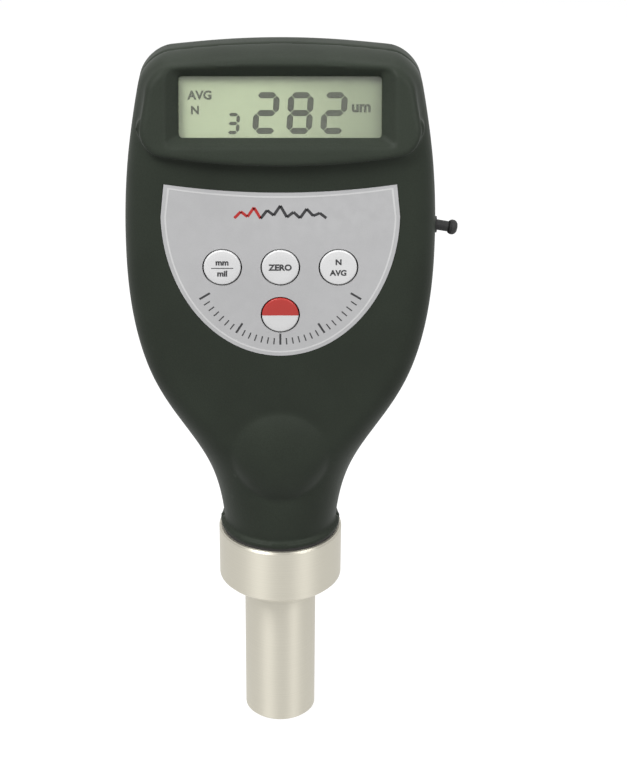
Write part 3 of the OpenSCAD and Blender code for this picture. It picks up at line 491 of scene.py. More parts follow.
class Shop:
    """Makes meshes in millimetres, cuts them, and hands finished pieces to the frame."""

    def __init__(self, finishes: Finishes) -> None:
        """Keeps the finishes at hand."""
        self.finishes = finishes

    @staticmethod
    def mesh(name: str, points: Iterable[Sequence[float]], faces: Iterable[Sequence[int]]) -> bpy.types.Mesh:
        """Makes a closed mesh with its faces turned outwards.

        Args:
            name: Name of the mesh.
            points: Corners in millimetres.
            faces: Corner numbers of each face.

        Returns:
            The mesh, in metres.
        """
        made = bpy.data.meshes.new(name)
        made.from_pydata((np.asarray(points, dtype=float) * MM).tolist(), [], [list(map(int, f)) for f in faces])
        work = bmesh.new()
        work.from_mesh(made)
        bmesh.ops.recalc_face_normals(work, faces=work.faces)
        work.to_mesh(made)
        work.free()
        return made

    def field(self, name: str, values: np.ndarray, corner: Sequence[float], step: float) -> bpy.types.Mesh:
        """Skins the zero level of a signed distance field.

        Args:
            name: Name of the mesh.
            values: Distances on a grid, negative inside.
            corner: Place of the grid's first point.
            step: Grid spacing.

        Returns:
            The skin as a closed mesh.
        """
        grid = openvdb.FloatGrid(float(values.max()))
        grid.copyFromArray(np.ascontiguousarray(values, dtype=np.float32))
        points, quads = grid.convertToQuads()
        return self.mesh(name, points * step + np.asarray(corner), quads)

    def prism(self, outline: Sequence[Point2], near: float, far: float) -> bpy.types.Mesh:
        """Draws an outline in x and z out along y.

        Args:
            outline: Corners of the outline.
            near: First place along y.
            far: Last place along y.

        Returns:
            The closed prism.
        """
        n = len(outline)
        points = [(x, y, z) for y in (near, far) for x, z in outline]
        sides = [(i, (i + 1) % n, n + (i + 1) % n, n + i) for i in range(n)]
        return self.mesh("prism", points, [list(range(n)), list(range(2 * n - 1, n - 1, -1)), *sides])

    def turn(self, profile: Sequence[Point2], sides: int = 96) -> bpy.types.Mesh:
        """Turns a closed profile of radius and height round the z axis.

        Args:
            profile: Corners of the profile; those on the axis have radius 0.
            sides: Steps round the axis.

        Returns:
            The turned mesh.
        """
        points: list[tuple[float, float, float]] = []
        rings: list[list[int]] = []
        for r, z in profile:
            first = len(points)
            if r < 1e-6:
                points.append((0, 0, z))
                rings.append([first] * sides)
            else:
                points += [(r * math.cos(2 * math.pi * k / sides), r * math.sin(2 * math.pi * k / sides), z)
                           for k in range(sides)]
                rings.append(list(range(first, first + sides)))
        faces = []
        for low, high in zip(rings, rings[1:] + rings[:1]):
            for k in range(sides):
                corners = list(dict.fromkeys((low[k], low[(k + 1) % sides], high[(k + 1) % sides], high[k])))
                if len(corners) > 2:
                    faces.append(corners)
        return self.mesh("turned", points, faces)

    def box(self, low: Sequence[float], high: Sequence[float]) -> bpy.types.Mesh:
        """Makes a block between two corners, to cut with or to join on."""
        outline = [(low[0], low[2]), (high[0], low[2]), (high[0], high[2]), (low[0], high[2])]
        return self.prism(outline, low[1], high[1])

    def rod(self, axis: str, d: float, start: Sequence[float], length: float, sides: int = 48) -> bpy.types.Mesh:
        """Makes a round bar along x or y, to cut with or to join on.

        Args:
            axis: "x" or "y".
            d: Diameter.
            start: Middle of its first end.
            length: Length along the axis.
            sides: Steps round it.

        Returns:
            The bar.
        """
        bar = self.turn([(0, 0), (d / 2, 0), (d / 2, length), (0, length)], sides)
        turn = Matrix.Rotation(math.pi / 2, 4, "Y") if axis == "x" else Matrix.Rotation(-math.pi / 2, 4, "X")
        bar.transform(Matrix.Translation(Vector(start) * MM) @ turn)
        return bar

    @staticmethod
    def combine(base: bpy.types.Mesh, tool: bpy.types.Mesh, operation: str) -> bpy.types.Mesh:
        """Cuts, joins or crosses two closed meshes.

        Args:
            base: Mesh to work on.
            tool: Mesh to work with.
            operation: DIFFERENCE, UNION or INTERSECT.

        Returns:
            The result as a new mesh.
        """
        pair = [bpy.data.objects.new(label, data) for label, data in (("base", base), ("tool", tool))]
        for item in pair:
            bpy.context.scene.collection.objects.link(item)
        step = pair[0].modifiers.new("step", "BOOLEAN")
        step.operation, step.solver, step.object = operation, "MANIFOLD", pair[1]
        view = bpy.context.evaluated_depsgraph_get()
        made = bpy.data.meshes.new_from_object(pair[0].evaluated_get(view))
        for item in pair:
            data = item.data
            bpy.data.objects.remove(item)
            bpy.data.meshes.remove(data)
        return made

    def words(self, text: str, height: float, thick: float) -> bpy.types.Mesh:
        """Sets a short legend as a thin mesh, centred, in x and y, thick along z.

        Args:
            text: Letters to set.
            height: Height of a capital.
            thick: Thickness of the ink.

        Returns:
            The legend as a mesh in metres.
        """
        type_face = bpy.data.curves.new("legend", "FONT")
        type_face.body = text
        type_face.align_x, type_face.align_y = "CENTER", "CENTER"
        type_face.size = height * MM / 0.7
        type_face.extrude = thick * MM / 2
        type_face.offset = height * MM * 0.055
        type_face.resolution_u = 3
        carrier = bpy.data.objects.new("legend", type_face)
        bpy.context.scene.collection.objects.link(carrier)
        made = bpy.data.meshes.new_from_object(carrier.evaluated_get(bpy.context.evaluated_depsgraph_get()))
        bpy.data.objects.remove(carrier)
        return made

    def strokes(self, polygons: Sequence[Sequence[Point2]], thick: float) -> bpy.types.Mesh:
        """Lays flat convex shapes as thin closed plates in x and y, thick along z.

        Args:
            polygons: Corners of each shape.
            thick: Thickness of the plates.

        Returns:
            One mesh of all the plates.
        """
        points: list[tuple[float, float, float]] = []
        faces: list[list[int]] = []
        for shape in polygons:
            n, first = len(shape), len(points)
            points += [(x, y, z) for z in (0.0, thick) for x, y in shape]
            faces += [[first + i for i in range(n - 1, -1, -1)], [first + n + i for i in range(n)]]
            faces += [[first + i, first + (i + 1) % n, first + n + (i + 1) % n, first + n + i] for i in range(n)]
        return self.mesh("strokes", points, faces)

    def piece(self, name: str, mesh: bpy.types.Mesh, finish: Finish, body: str = HOUSING,
              stands_for: Sequence[str] = (), crease: float = 40.0) -> bpy.types.Object:
        """Hands a finished piece to the frame.

        Args:
            name: Name of the piece.
            mesh: Its mesh in metres.
            finish: Its finish.
            body: Body that it moves with.
            stands_for: Solids that it replaces.
            crease: Angle above which an edge stays sharp, in degrees.

        Returns:
            The new object.
        """
        made = bpy.data.objects.new(name, mesh)
        mesh.name = name
        bpy.context.scene.collection.objects.link(made)
        mesh.materials.clear()
        mesh.materials.append(self.finishes.material(finish))
        self.smooth(mesh, crease)
        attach(made, body)
        if stands_for:
            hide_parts(*stands_for)
        log.info("%s: %d faces on %s", name, len(mesh.polygons), body)
        return made

    @staticmethod
    def smooth(mesh: bpy.types.Mesh, crease: float) -> None:
        """Shades a mesh smooth, with edges above the crease angle kept sharp."""
        mesh.shade_smooth()
        mesh.set_sharp_from_angle(angle=math.radians(crease))


def face_matrix(x: float, y: float, z: float, lean: float = 0.0) -> Matrix:
    """Stands a flat drawing up on a front face, in metres.

    Args:
        x: Place across, in millimetres.
        y: Place of the face along y.
        z: Height of the drawing's middle.
        lean: Angle that the face leans back, in degrees.

    Returns:
        The matrix from drawing to object.
    """
    return Matrix.Translation(Vector((x, y, z)) * MM) @ Matrix.Rotation(math.radians(90 - lean), 4, "X")


@dataclass
class BodyForm:
    """Outer form of the body in millimetres, with z from the top of the neck seal."""

    seat: float
    height: float
    half_w: float
    face: float
    back: float
    wall: float = 2.0
    lip_r: float = 13.6
    lip_h: float = 1.2
    lip_edge: float = 0.3
    lip_blend: float = 0.5
    neck_r: float = 12.8
    neck_h: float = 4.0
    depth_blend: float = 14.0
    edge_blend: float = 40.0
    flare_x: float = 12.4
    flare_z: tuple[float, float, float, float] = (-5.5, 30.21, 26.02, 70.0)
    side_start: float = 71.0
    side_r: float = 165.0
    crest_r: float = 170.0
    corner_r: float = 5.2
    nose_r: float = 11.0
    nose_from: float = 84.0
    nose_blend: float = 16.0
    side_near: float = 12.0
    crest_near: float = 24.0
    front_edge: float = 5.5
    back_edge: float = 6.0
    brim_z: float = 90.2
    brim_step: float = 3.0
    lean: float = 20.0
    hood_inset: float = 1.8
    bow_r: float = 170.0
    hood_corner: float = 5.0
    hood_edge: float = 1.3
    dome_z: float = 22.6
    dome_r: float = 21.84
    dome_rise: float = 2.8
    dome_full: float = 2.6
    window: tuple[float, float] = (41.0, 12.2)
    window_rise: float = 12.4
    frame_flare: tuple[float, float] = (2.9, 2.2)
    frame_depth: float = 2.4
    frame_corner: float = 0.7
    hole_corner: float = 0.5
    lens_gap: float = 0.3
    lens_depth: float = 3.2
    lens: tuple[float, float] = (44.2, 15.4)
    screw_share: float = 0.54
    screw_edge: float = 8.9
    spigot_r: float = 11.5
    spigot_z: float = -6.8

    @classmethod
    def from_frame(cls) -> "BodyForm":
        """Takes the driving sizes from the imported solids.

        Returns:
            The form that fits them.
        """
        low, high = (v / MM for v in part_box("rear_shell"))
        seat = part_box("neck_seal")[1].z / MM
        face = -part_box("keypad_film")[0].y / MM
        return cls(seat=seat, height=high.z - seat, half_w=high.x, face=face, back=high.y)

    def flare(self, t: np.ndarray | float) -> tuple[np.ndarray, np.ndarray]:
        """Half width and height along the flare.

        Args:
            t: Share of the way up, from 0 to 1.

        Returns:
            The half widths and the heights.
        """
        cubic = [(1 - t) ** 3, 3 * t * (1 - t) ** 2, 3 * t * t * (1 - t), t ** 3]
        reach = (cubic[0] + cubic[1]) * self.flare_x + (cubic[2] + cubic[3]) * self.half_w
        return reach, sum(c * p for c, p in zip(cubic, self.flare_z))

    def half_width(self, z: np.ndarray) -> np.ndarray:
        """Half width of the body below its bulging sides."""
        reach, rise = self.flare(np.linspace(0.0, 1.0, 400))
        return np.interp(z, rise, reach)

    def screw_places(self) -> list[Point2]:
        """Finds the case screws: two beside the display, two in the flare.

        Returns:
            Their places in x and z.
        """
        reach, rise = self.flare(self.screw_share)
        spots = [(self.half_w - self.wall - 4, self.height - 15), (float(reach) - self.screw_edge, float(rise))]
        return [(side * x, z) for x, z in spots for side in (-1, 1)]

    def outline(self, x: np.ndarray, z: np.ndarray) -> tuple[np.ndarray, np.ndarray]:
        """Distances to the sides and to the crest, seen from the front.

        Args:
            x: Places across.
            z: Heights.

        Returns:
            The field of the sides and the field of the crest.
        """
        w = self.half_width(z)
        slope = np.gradient(w.ravel(), z.ravel()).reshape(w.shape)
        low = (np.abs(x) - w) / np.sqrt(1 + slope ** 2)
        high = np.hypot(np.abs(x) - self.half_w + self.side_r, z - self.side_start) - self.side_r
        crest = np.hypot(x, z - self.height + self.crest_r) - self.crest_r
        return np.where(z < self.side_start, low, high), crest

    def skin(self, x: np.ndarray, y: np.ndarray, z: np.ndarray, side: int) -> np.ndarray:
        """Distances to one half of the body, without lip, hood and dome.

        Args:
            x: Places across.
            y: Places from front to back.
            z: Heights.
            side: -1 for the front half, 1 for the back half.

        Returns:
            The field, open at its lower end.
        """
        full, tight = (self.face, self.front_edge) if side < 0 else (self.back, self.back_edge)
        sides, crest = self.outline(x, z)
        neck = np.minimum(self.half_width(z), self.neck_r)
        deep = neck + (full - neck) * ease((z - self.neck_h) / self.depth_blend)
        edge = self.neck_r + (tight - self.neck_r) * ease((z - self.neck_h) / self.edge_blend)
        edge = np.minimum(edge, np.minimum(self.half_width(z), deep) - 0.05)
        flat = side * y - deep
        near_side = np.maximum(sides + self.side_near, 0)
        near_crest = np.maximum(crest + self.crest_near, 0)
        rise = ease((z - self.nose_from) / self.nose_blend)
        top = near_crest ** 2 / (near_side ** 2 + near_crest ** 2 + 1e-6) * rise
        edge = edge + (self.nose_r - edge) * top
        return round_max(round_max(sides, crest, self.corner_r), flat, edge)

    def behind(self, y: np.ndarray, z: np.ndarray) -> tuple[np.ndarray, np.ndarray]:
        """Depth behind the display face, and height up it from the window's middle.

        Args:
            y: Places from front to back.
            z: Heights.

        Returns:
            The depths and the heights.
        """
        c, s = math.cos(math.radians(self.lean)), math.sin(math.radians(self.lean))
        along_y, along_z = y + self.face + self.brim_step, z - self.brim_z
        return along_y * c - along_z * s, along_y * s + along_z * c - self.window_rise

    def on_display(self, up: float, deep: float) -> tuple[float, float]:
        """Finds a point on the display.

        Args:
            up: Height up the display from the window's middle.
            deep: Depth behind the display face.

        Returns:
            Its place in y and z, from the foot.
        """
        c, s = math.cos(math.radians(self.lean)), math.sin(math.radians(self.lean))
        rise = self.window_rise + up
        return (-self.face - self.brim_step + rise * s + deep * c, self.seat + self.brim_z + rise * c - deep * s)

    def with_lip(self, body: np.ndarray, x: np.ndarray, y: np.ndarray, z: np.ndarray) -> np.ndarray:
        """Adds the neck lip and closes the lower end."""
        lip = round_max(np.hypot(x, y) - self.lip_r, z - self.lip_h, self.lip_edge)
        return round_max(round_min(body, lip, self.lip_blend), -z, self.lip_edge)

    def hood(self, x: np.ndarray, y: np.ndarray, z: np.ndarray) -> np.ndarray:
        """Distances to the display hood, before its face is cut.

        Args:
            x: Places across.
            y: Places from front to back.
            z: Heights.

        Returns:
            The field, negative inside.
        """
        sides, crest = self.outline(x, z)
        bow = np.hypot(x, z - self.brim_z - self.bow_r) - self.bow_r
        front = round_max(sides + self.hood_inset, crest + self.hood_inset, self.corner_r - self.hood_inset)
        return np.maximum(round_max(front, bow, self.hood_corner), y + self.nose_r / 3)

    def dome(self, body: np.ndarray, x: np.ndarray, z: np.ndarray) -> np.ndarray:
        """Distances to the thumb dome, which swells out of the body's skin.

        Args:
            body: Field of the front half.
            x: Places across.
            z: Heights.

        Returns:
            The field, equal to the body's at the dome's rim.
        """
        reach = math.sqrt(self.dome_rise * (2 * self.dome_r - self.dome_rise))
        return body - self.dome_rise * (1 - (np.hypot(x, z - self.dome_z) / reach) ** self.dome_full)

    def spigot(self, x: np.ndarray, y: np.ndarray, z: np.ndarray) -> np.ndarray:
        """Distances to the short tube that the collar holds."""
        ring = np.abs(np.hypot(x, y) - self.spigot_r + self.wall / 2) - self.wall / 2
        return np.maximum(ring, np.abs(z - (self.spigot_z + self.lip_h) / 2) - (self.lip_h - self.spigot_z) / 2)

    def window_cut(self, x: np.ndarray, deep: np.ndarray, up: np.ndarray) -> np.ndarray:
        """Distances to the tapered window frame and the lens pocket behind it.

        Args:
            x: Places across.
            deep: Depths behind the display face.
            up: Heights up the display from the window's middle.

        Returns:
            The field of what is cut away.
        """
        share = 1 - deep / self.frame_depth
        half_u, half_v = self.window[0] / 2, self.window[1] / 2
        across = np.abs(x) - half_u - self.frame_flare[0] * share
        upward = np.abs(up) - half_v - self.frame_flare[1] * share
        slope = [1 / math.hypot(1, f / self.frame_depth) for f in self.frame_flare]
        taper = np.maximum(round_max(across * slope[0], upward * slope[1], self.frame_corner), deep - self.frame_depth)
        hole = round_max(np.abs(x) - half_u, np.abs(up) - half_v, self.hole_corner)
        hole = np.maximum(hole, deep - self.lens_depth - PAST)
        pocket = np.maximum(np.abs(x) - self.lens[0] / 2 - self.lens_gap, np.abs(up) - self.lens[1] / 2 - self.lens_gap)
        pocket = np.maximum(pocket, np.maximum(self.lens_depth - deep, deep - self.lens_depth - 3 * self.wall))
        return np.minimum(np.minimum(taper, hole), pocket)

    def axes(self, near: float, far: float, step: float) -> tuple[np.ndarray, np.ndarray, np.ndarray]:
        """Grid lines over the body, from near to far along y.

        Args:
            near: First place along y.
            far: Last place along y.
            step: Grid spacing.

        Returns:
            Places along x, y and z, shaped to spread over one another.
        """
        reach = self.half_w + 3 * step
        x = np.arange(-reach, reach + step / 2, step, dtype=np.float32)
        y = np.arange(near, far + step / 2, step, dtype=np.float32)
        z = np.arange(self.spigot_z - 3 * step, self.height + 3 * step, step, dtype=np.float32)
        return x[:, None, None], y[None, :, None], z[None, None, :]


@dataclass
class FrontShell:
    """Front half of the housing: hood, window frame, keypad bed and thumb dome."""

    shop: Shop
    form: BodyForm
    step: float = 0.46
    parting: float = 0.07
    parting_edge: float = 0.25
    hood_blend: float = 0.9
    dome_blend: float = 0.3
    window_edge: float = 0.35
    film_bed: float = 0.5
    key_clear: float = 0.3
    pocket_y: float = -10.7
    stem_hole_d: float = 4.2
    board_front: float = 7.2
    port_hole_d: float = 5.0
    port_reach: float = 15.0
    screw_head_d: float = 3.6
    boss_d: float = 5.6
    boss_pilot_d: float = 2.5
    boss_skin: float = 2.7
    post_d: float = 4.4
    post_pilot_d: float = 1.9
    post_sink: float = 0.2
    root: float = 0.5
    pilot_deep: float = 12.0

    def build(self, film: Sequence[Point2]) -> None:
        """Forms the shell, cuts its openings and hands it over.

        Args:
            film: Outline of the keypad bed in x and z, from the foot.
        """
        form, shop = self.form, self.shop
        x, y, z = form.axes(-form.face - form.brim_step - 3 * self.step, 3 * self.step, self.step)
        body = form.skin(x, y, z, -1)
        deep, up = form.behind(y, z)
        outer = round_max(round_min(body, form.hood(x, y, z), self.hood_blend), -deep, form.hood_edge)
        dome = np.maximum(form.dome(body, x, z), y + form.face / 3)
        outer = form.with_lip(round_min(outer, dome, self.dome_blend), x, y, z)
        cavity = np.maximum(body + form.wall, form.lens_depth - deep)
        shell = np.maximum(outer, -cavity)
        shell = round_max(shell, -form.window_cut(x, deep, up), self.window_edge)
        shell = np.minimum(shell, form.spigot(x, y, z))
        inside = -form.face + form.wall
        bosses = [(*spot, self.boss_d, 0.0) for spot in form.screw_places()]
        posts = [(*spot, self.post_d, -self.board_front) for spot in self.post_places()]
        for px, pz, d, near in bosses + posts:
            boss = np.maximum(np.hypot(x - px, z - pz) - d / 2, np.maximum(inside - self.root - y, y - near))
            shell = np.minimum(shell, boss)
        shell = round_max(shell, y + self.parting, self.parting_edge)
        corner = (float(x.min()), float(y.min()), float(z.min()) + form.seat)
        mesh = shop.field("front_shell_skin", shell, corner, self.step)
        mesh = shop.combine(mesh, shop.prism(film, -form.face - PAST, -form.face + self.film_bed), "DIFFERENCE")
        for node in KEYS:
            low, high = (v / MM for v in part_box(node))
            x0, z0, d = (low.x + high.x) / 2, (low.z + high.z) / 2, high.x - low.x
            start = (x0, -form.face - PAST, z0)
            for hole_d, end in ((d + 2 * self.key_clear, self.pocket_y), (self.stem_hole_d, -self.board_front)):
                mesh = shop.combine(mesh, shop.rod("y", hole_d, start, form.face + PAST + end), "DIFFERENCE")
        pilots = [(spot, self.boss_pilot_d, inside + self.boss_skin) for spot in form.screw_places()]
        pilots += [(spot, self.post_pilot_d, inside - self.post_sink) for spot in self.post_places()]
        for (px, pz), d, start_y in pilots:
            pilot = shop.rod("y", d, (px, start_y, form.seat + pz), self.pilot_deep)
            mesh = shop.combine(mesh, pilot, "DIFFERENCE")
        port_low, port_high = (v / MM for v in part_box("data_jack"))
        port_y, port_z = (port_low.y + port_high.y) / 2, (port_low.z + port_high.z) / 2
        port = shop.rod("x", self.port_hole_d, (port_low.x, port_y, port_z), self.port_reach)
        mesh = shop.combine(mesh, port, "DIFFERENCE")
        shop.piece("front_shell_moulding", mesh, BODY_PLASTIC, stands_for=["front_shell"], crease=50)

    def post_places(self) -> list[Point2]:
        """Finds the board's screw posts.

        Returns:
            Their places in x and z.
        """
        low, high = (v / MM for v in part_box("board_screws"))
        x, inset = high.x - self.screw_head_d / 2, self.screw_head_d / 2
        return [(side * x, z - self.form.seat) for side in (-1, 1) for z in (low.z + inset, high.z - inset)]


def block(x: np.ndarray, y: np.ndarray, z: np.ndarray, low: Sequence[float], high: Sequence[float]) -> np.ndarray:
    """Distances to a block between two corners.

    Args:
        x: Places across.
        y: Places from front to back.
        z: Heights.
        low: Its lowest corner.
        high: Its highest corner.

    Returns:
        The field, negative inside.
    """
    gaps = [np.abs(p - (a + b) / 2) - (b - a) / 2 for p, a, b in zip((x, y, z), low, high)]
    return np.maximum(np.maximum(gaps[0], gaps[1]), gaps[2])


@dataclass
class BackHalf:
    """Rear shell with its cell bay, and the sliding battery door."""

    shop: Shop
    form: BodyForm
    step: float = 0.54
    parting: float = 0.07
    door_half: float = 23.2
    door_front: float = 3.6
    door_lap: float = 3.4
    door_gap: float = 0.12
    hook_gap: float = 0.25
    bay_half: float = 22.0
    bay_wall: float = 1.4
    bay_back: float = 9.6
    bay_low: float = 41.0
    hook_y: float = 7.0
    hook_reach: float = 0.9
    rail_t: float = 1.2
    cell_gap: float = 0.1
    slot_in: float = 0.5
    ledge_gap: float = 0.3
    groove_up: float = 4.0
    hook_tall: float = 5.0
    hook_rise: tuple[float, float] = (8.0, 12.0)
    skin_in: float = 0.4
    clear_y: float = 40.0
    clear_z: float = 20.0
    screw_hole_d: float = 3.0
    boss_d: float = 6.6
    boss_past: float = 1.8
    parting_edge: float = 0.25
    head_d: float = 5.2
    head_seat: float = 8.4
    rib_pitch: float = 2.4
    rib_w: float = 1.1
    rib_deep: float = 0.45
    rib_up: float = 6.0
    rib_reach: float = 9.0
    rib_taper: float = 0.7
    ribs: int = 5

    def build(self) -> None:
        """Forms the rear shell and the door and hands them over."""
        form, shop = self.form, self.shop
        x, y, z = form.axes(-3.2, form.back + 3 * self.step, self.step)
        body = form.skin(x, y, z, 1)
        skin = np.maximum(body, -body - form.wall)
        shell = np.maximum(form.with_lip(body, x, y, z), -body - form.wall)
        shell = np.minimum(shell, form.spigot(x, y, z))
        shell = round_max(shell, self.parting - y, self.parting_edge)
        for px, pz in form.screw_places():
            length = np.maximum(-y, y - self.head_seat - self.boss_past)
            boss = np.maximum(np.hypot(x - px, z - pz) - self.boss_d / 2, length)
            shell = np.minimum(shell, np.maximum(boss, body + self.skin_in))
        corner = (float(x.min()), float(y.min()), float(z.min()) + form.seat)
        mesh = shop.field("rear_shell_skin", shell, corner, self.step)
        low_z, high_z = form.seat + self.bay_low - self.door_lap, form.seat + form.height + self.clear_z
        opening = shop.box((-self.door_half, self.door_front, low_z), (self.door_half, self.clear_y, high_z))
        mesh = shop.combine(mesh, opening, "DIFFERENCE")
        bay = shop.field("cell_bay", np.maximum(self._bay(x, y, z), body + self.skin_in), corner, self.step)
        mesh = shop.combine(mesh, bay, "UNION")
        for px, pz in form.screw_places():
            hole = shop.rod("y", self.screw_hole_d, (px, -PAST, form.seat + pz), 20)
            mesh = shop.combine(mesh, hole, "DIFFERENCE")
            recess = shop.rod("y", self.head_d, (px, self.head_seat, form.seat + pz), 10, 64)
            mesh = shop.combine(mesh, recess, "DIFFERENCE")
        shop.piece("rear_shell_moulding", mesh, BODY_PLASTIC, stands_for=["rear_shell"], crease=50)
        self._door(skin, corner)

    def _bay(self, x: np.ndarray, y: np.ndarray, z: np.ndarray) -> np.ndarray:
        """Distances to the walls, grooves and rails round the cells.

        Args:
            x: Places across.
            y: Places from front to back.
            z: Heights.

        Returns:
            The field, negative inside.
        """
        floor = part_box("cell_1")[0].y / MM - self.cell_gap
        top, outer, far = self.form.brim_z, self.bay_half + self.bay_wall, 4 * self.form.height
        low, high = self.bay_low - self.bay_wall, top + self.bay_wall
        walls = block(x, y, z, (-outer, floor - self.bay_wall, low), (outer, self.bay_back, high))
        walls = np.maximum(walls, -block(x, y, z, (-self.bay_half, floor, self.bay_low), (self.bay_half, far, top)))
        groove = self.hook_reach + self.hook_gap
        for side in (-1, 1):
            edge = side * self.bay_half
            cut = block(x, y, z, (edge - groove, self.hook_y - self.hook_gap, self.bay_low + self.groove_up),
                        (edge + groove, self.hook_y + 1 + self.hook_gap, far))
            middle = side * (self.bay_half - self.slot_in)
            slot = block(x, y, z, (middle - 1, self.hook_y - self.hook_gap, top - 1), (middle + 1, far, far))
            walls = np.maximum(walls, -np.minimum(cut, slot))
        for edge in (-self.door_half - self.rail_t, self.door_half):
            rail = block(x, y, z, (edge, self.hook_y, low), (edge + self.rail_t, self.form.back - 1, high))
            walls = np.minimum(walls, rail)
        ledge = block(x, y, z, (-outer, self.door_front - self.bay_wall - self.ledge_gap, top),
                      (outer, self.door_front - self.ledge_gap, self.form.height - 1))
        return np.minimum(walls, ledge)

    def _door(self, skin: np.ndarray, corner: Sequence[float]) -> None:
        """Cuts the door out of the skin, with hooks inside and grip grooves outside.

        Args:
            skin: Field of the back's skin.
            corner: First point of the grid, from the foot.
        """
        form, shop, gap = self.form, self.shop, self.door_gap
        half, low = self.door_half - gap, self.bay_low - self.door_lap + gap
        mesh = shop.field("battery_door_skin", skin, corner, self.step)
        panel = shop.box((-half, self.door_front + gap, form.seat + low),
                         (half, self.clear_y, form.seat + form.height + self.clear_z))
        mesh = shop.combine(mesh, panel, "INTERSECT")
        for side in (-1, 1):
            edge = side * (self.bay_half - self.hook_gap)
            for up in (form.seat + self.bay_low + self.hook_rise[0], form.seat + form.brim_z - self.hook_rise[1]):
                for tip, deep in ((edge, form.back - 1), (edge + side * self.hook_reach, self.hook_y + 1)):
                    across = sorted((tip, edge - side))
                    hook = shop.box((across[0], self.hook_y, up), (across[1], deep, up + self.hook_tall))
                    mesh = shop.combine(mesh, hook, "UNION")
        for k in range(self.ribs):
            z0 = form.seat + low + self.rib_up + k * self.rib_pitch
            reach = self.rib_reach - self.rib_taper * abs(k - self.ribs // 2)
            cut = shop.box((-reach, form.back - self.rib_deep, z0), (reach, form.back + 2 * PAST, z0 + self.rib_w))
            mesh = shop.combine(mesh, cut, "DIFFERENCE")
        shop.piece("battery_door_moulding", mesh, BODY_PLASTIC, body="battery_door", stands_for=["battery_door"],
                   crease=50)


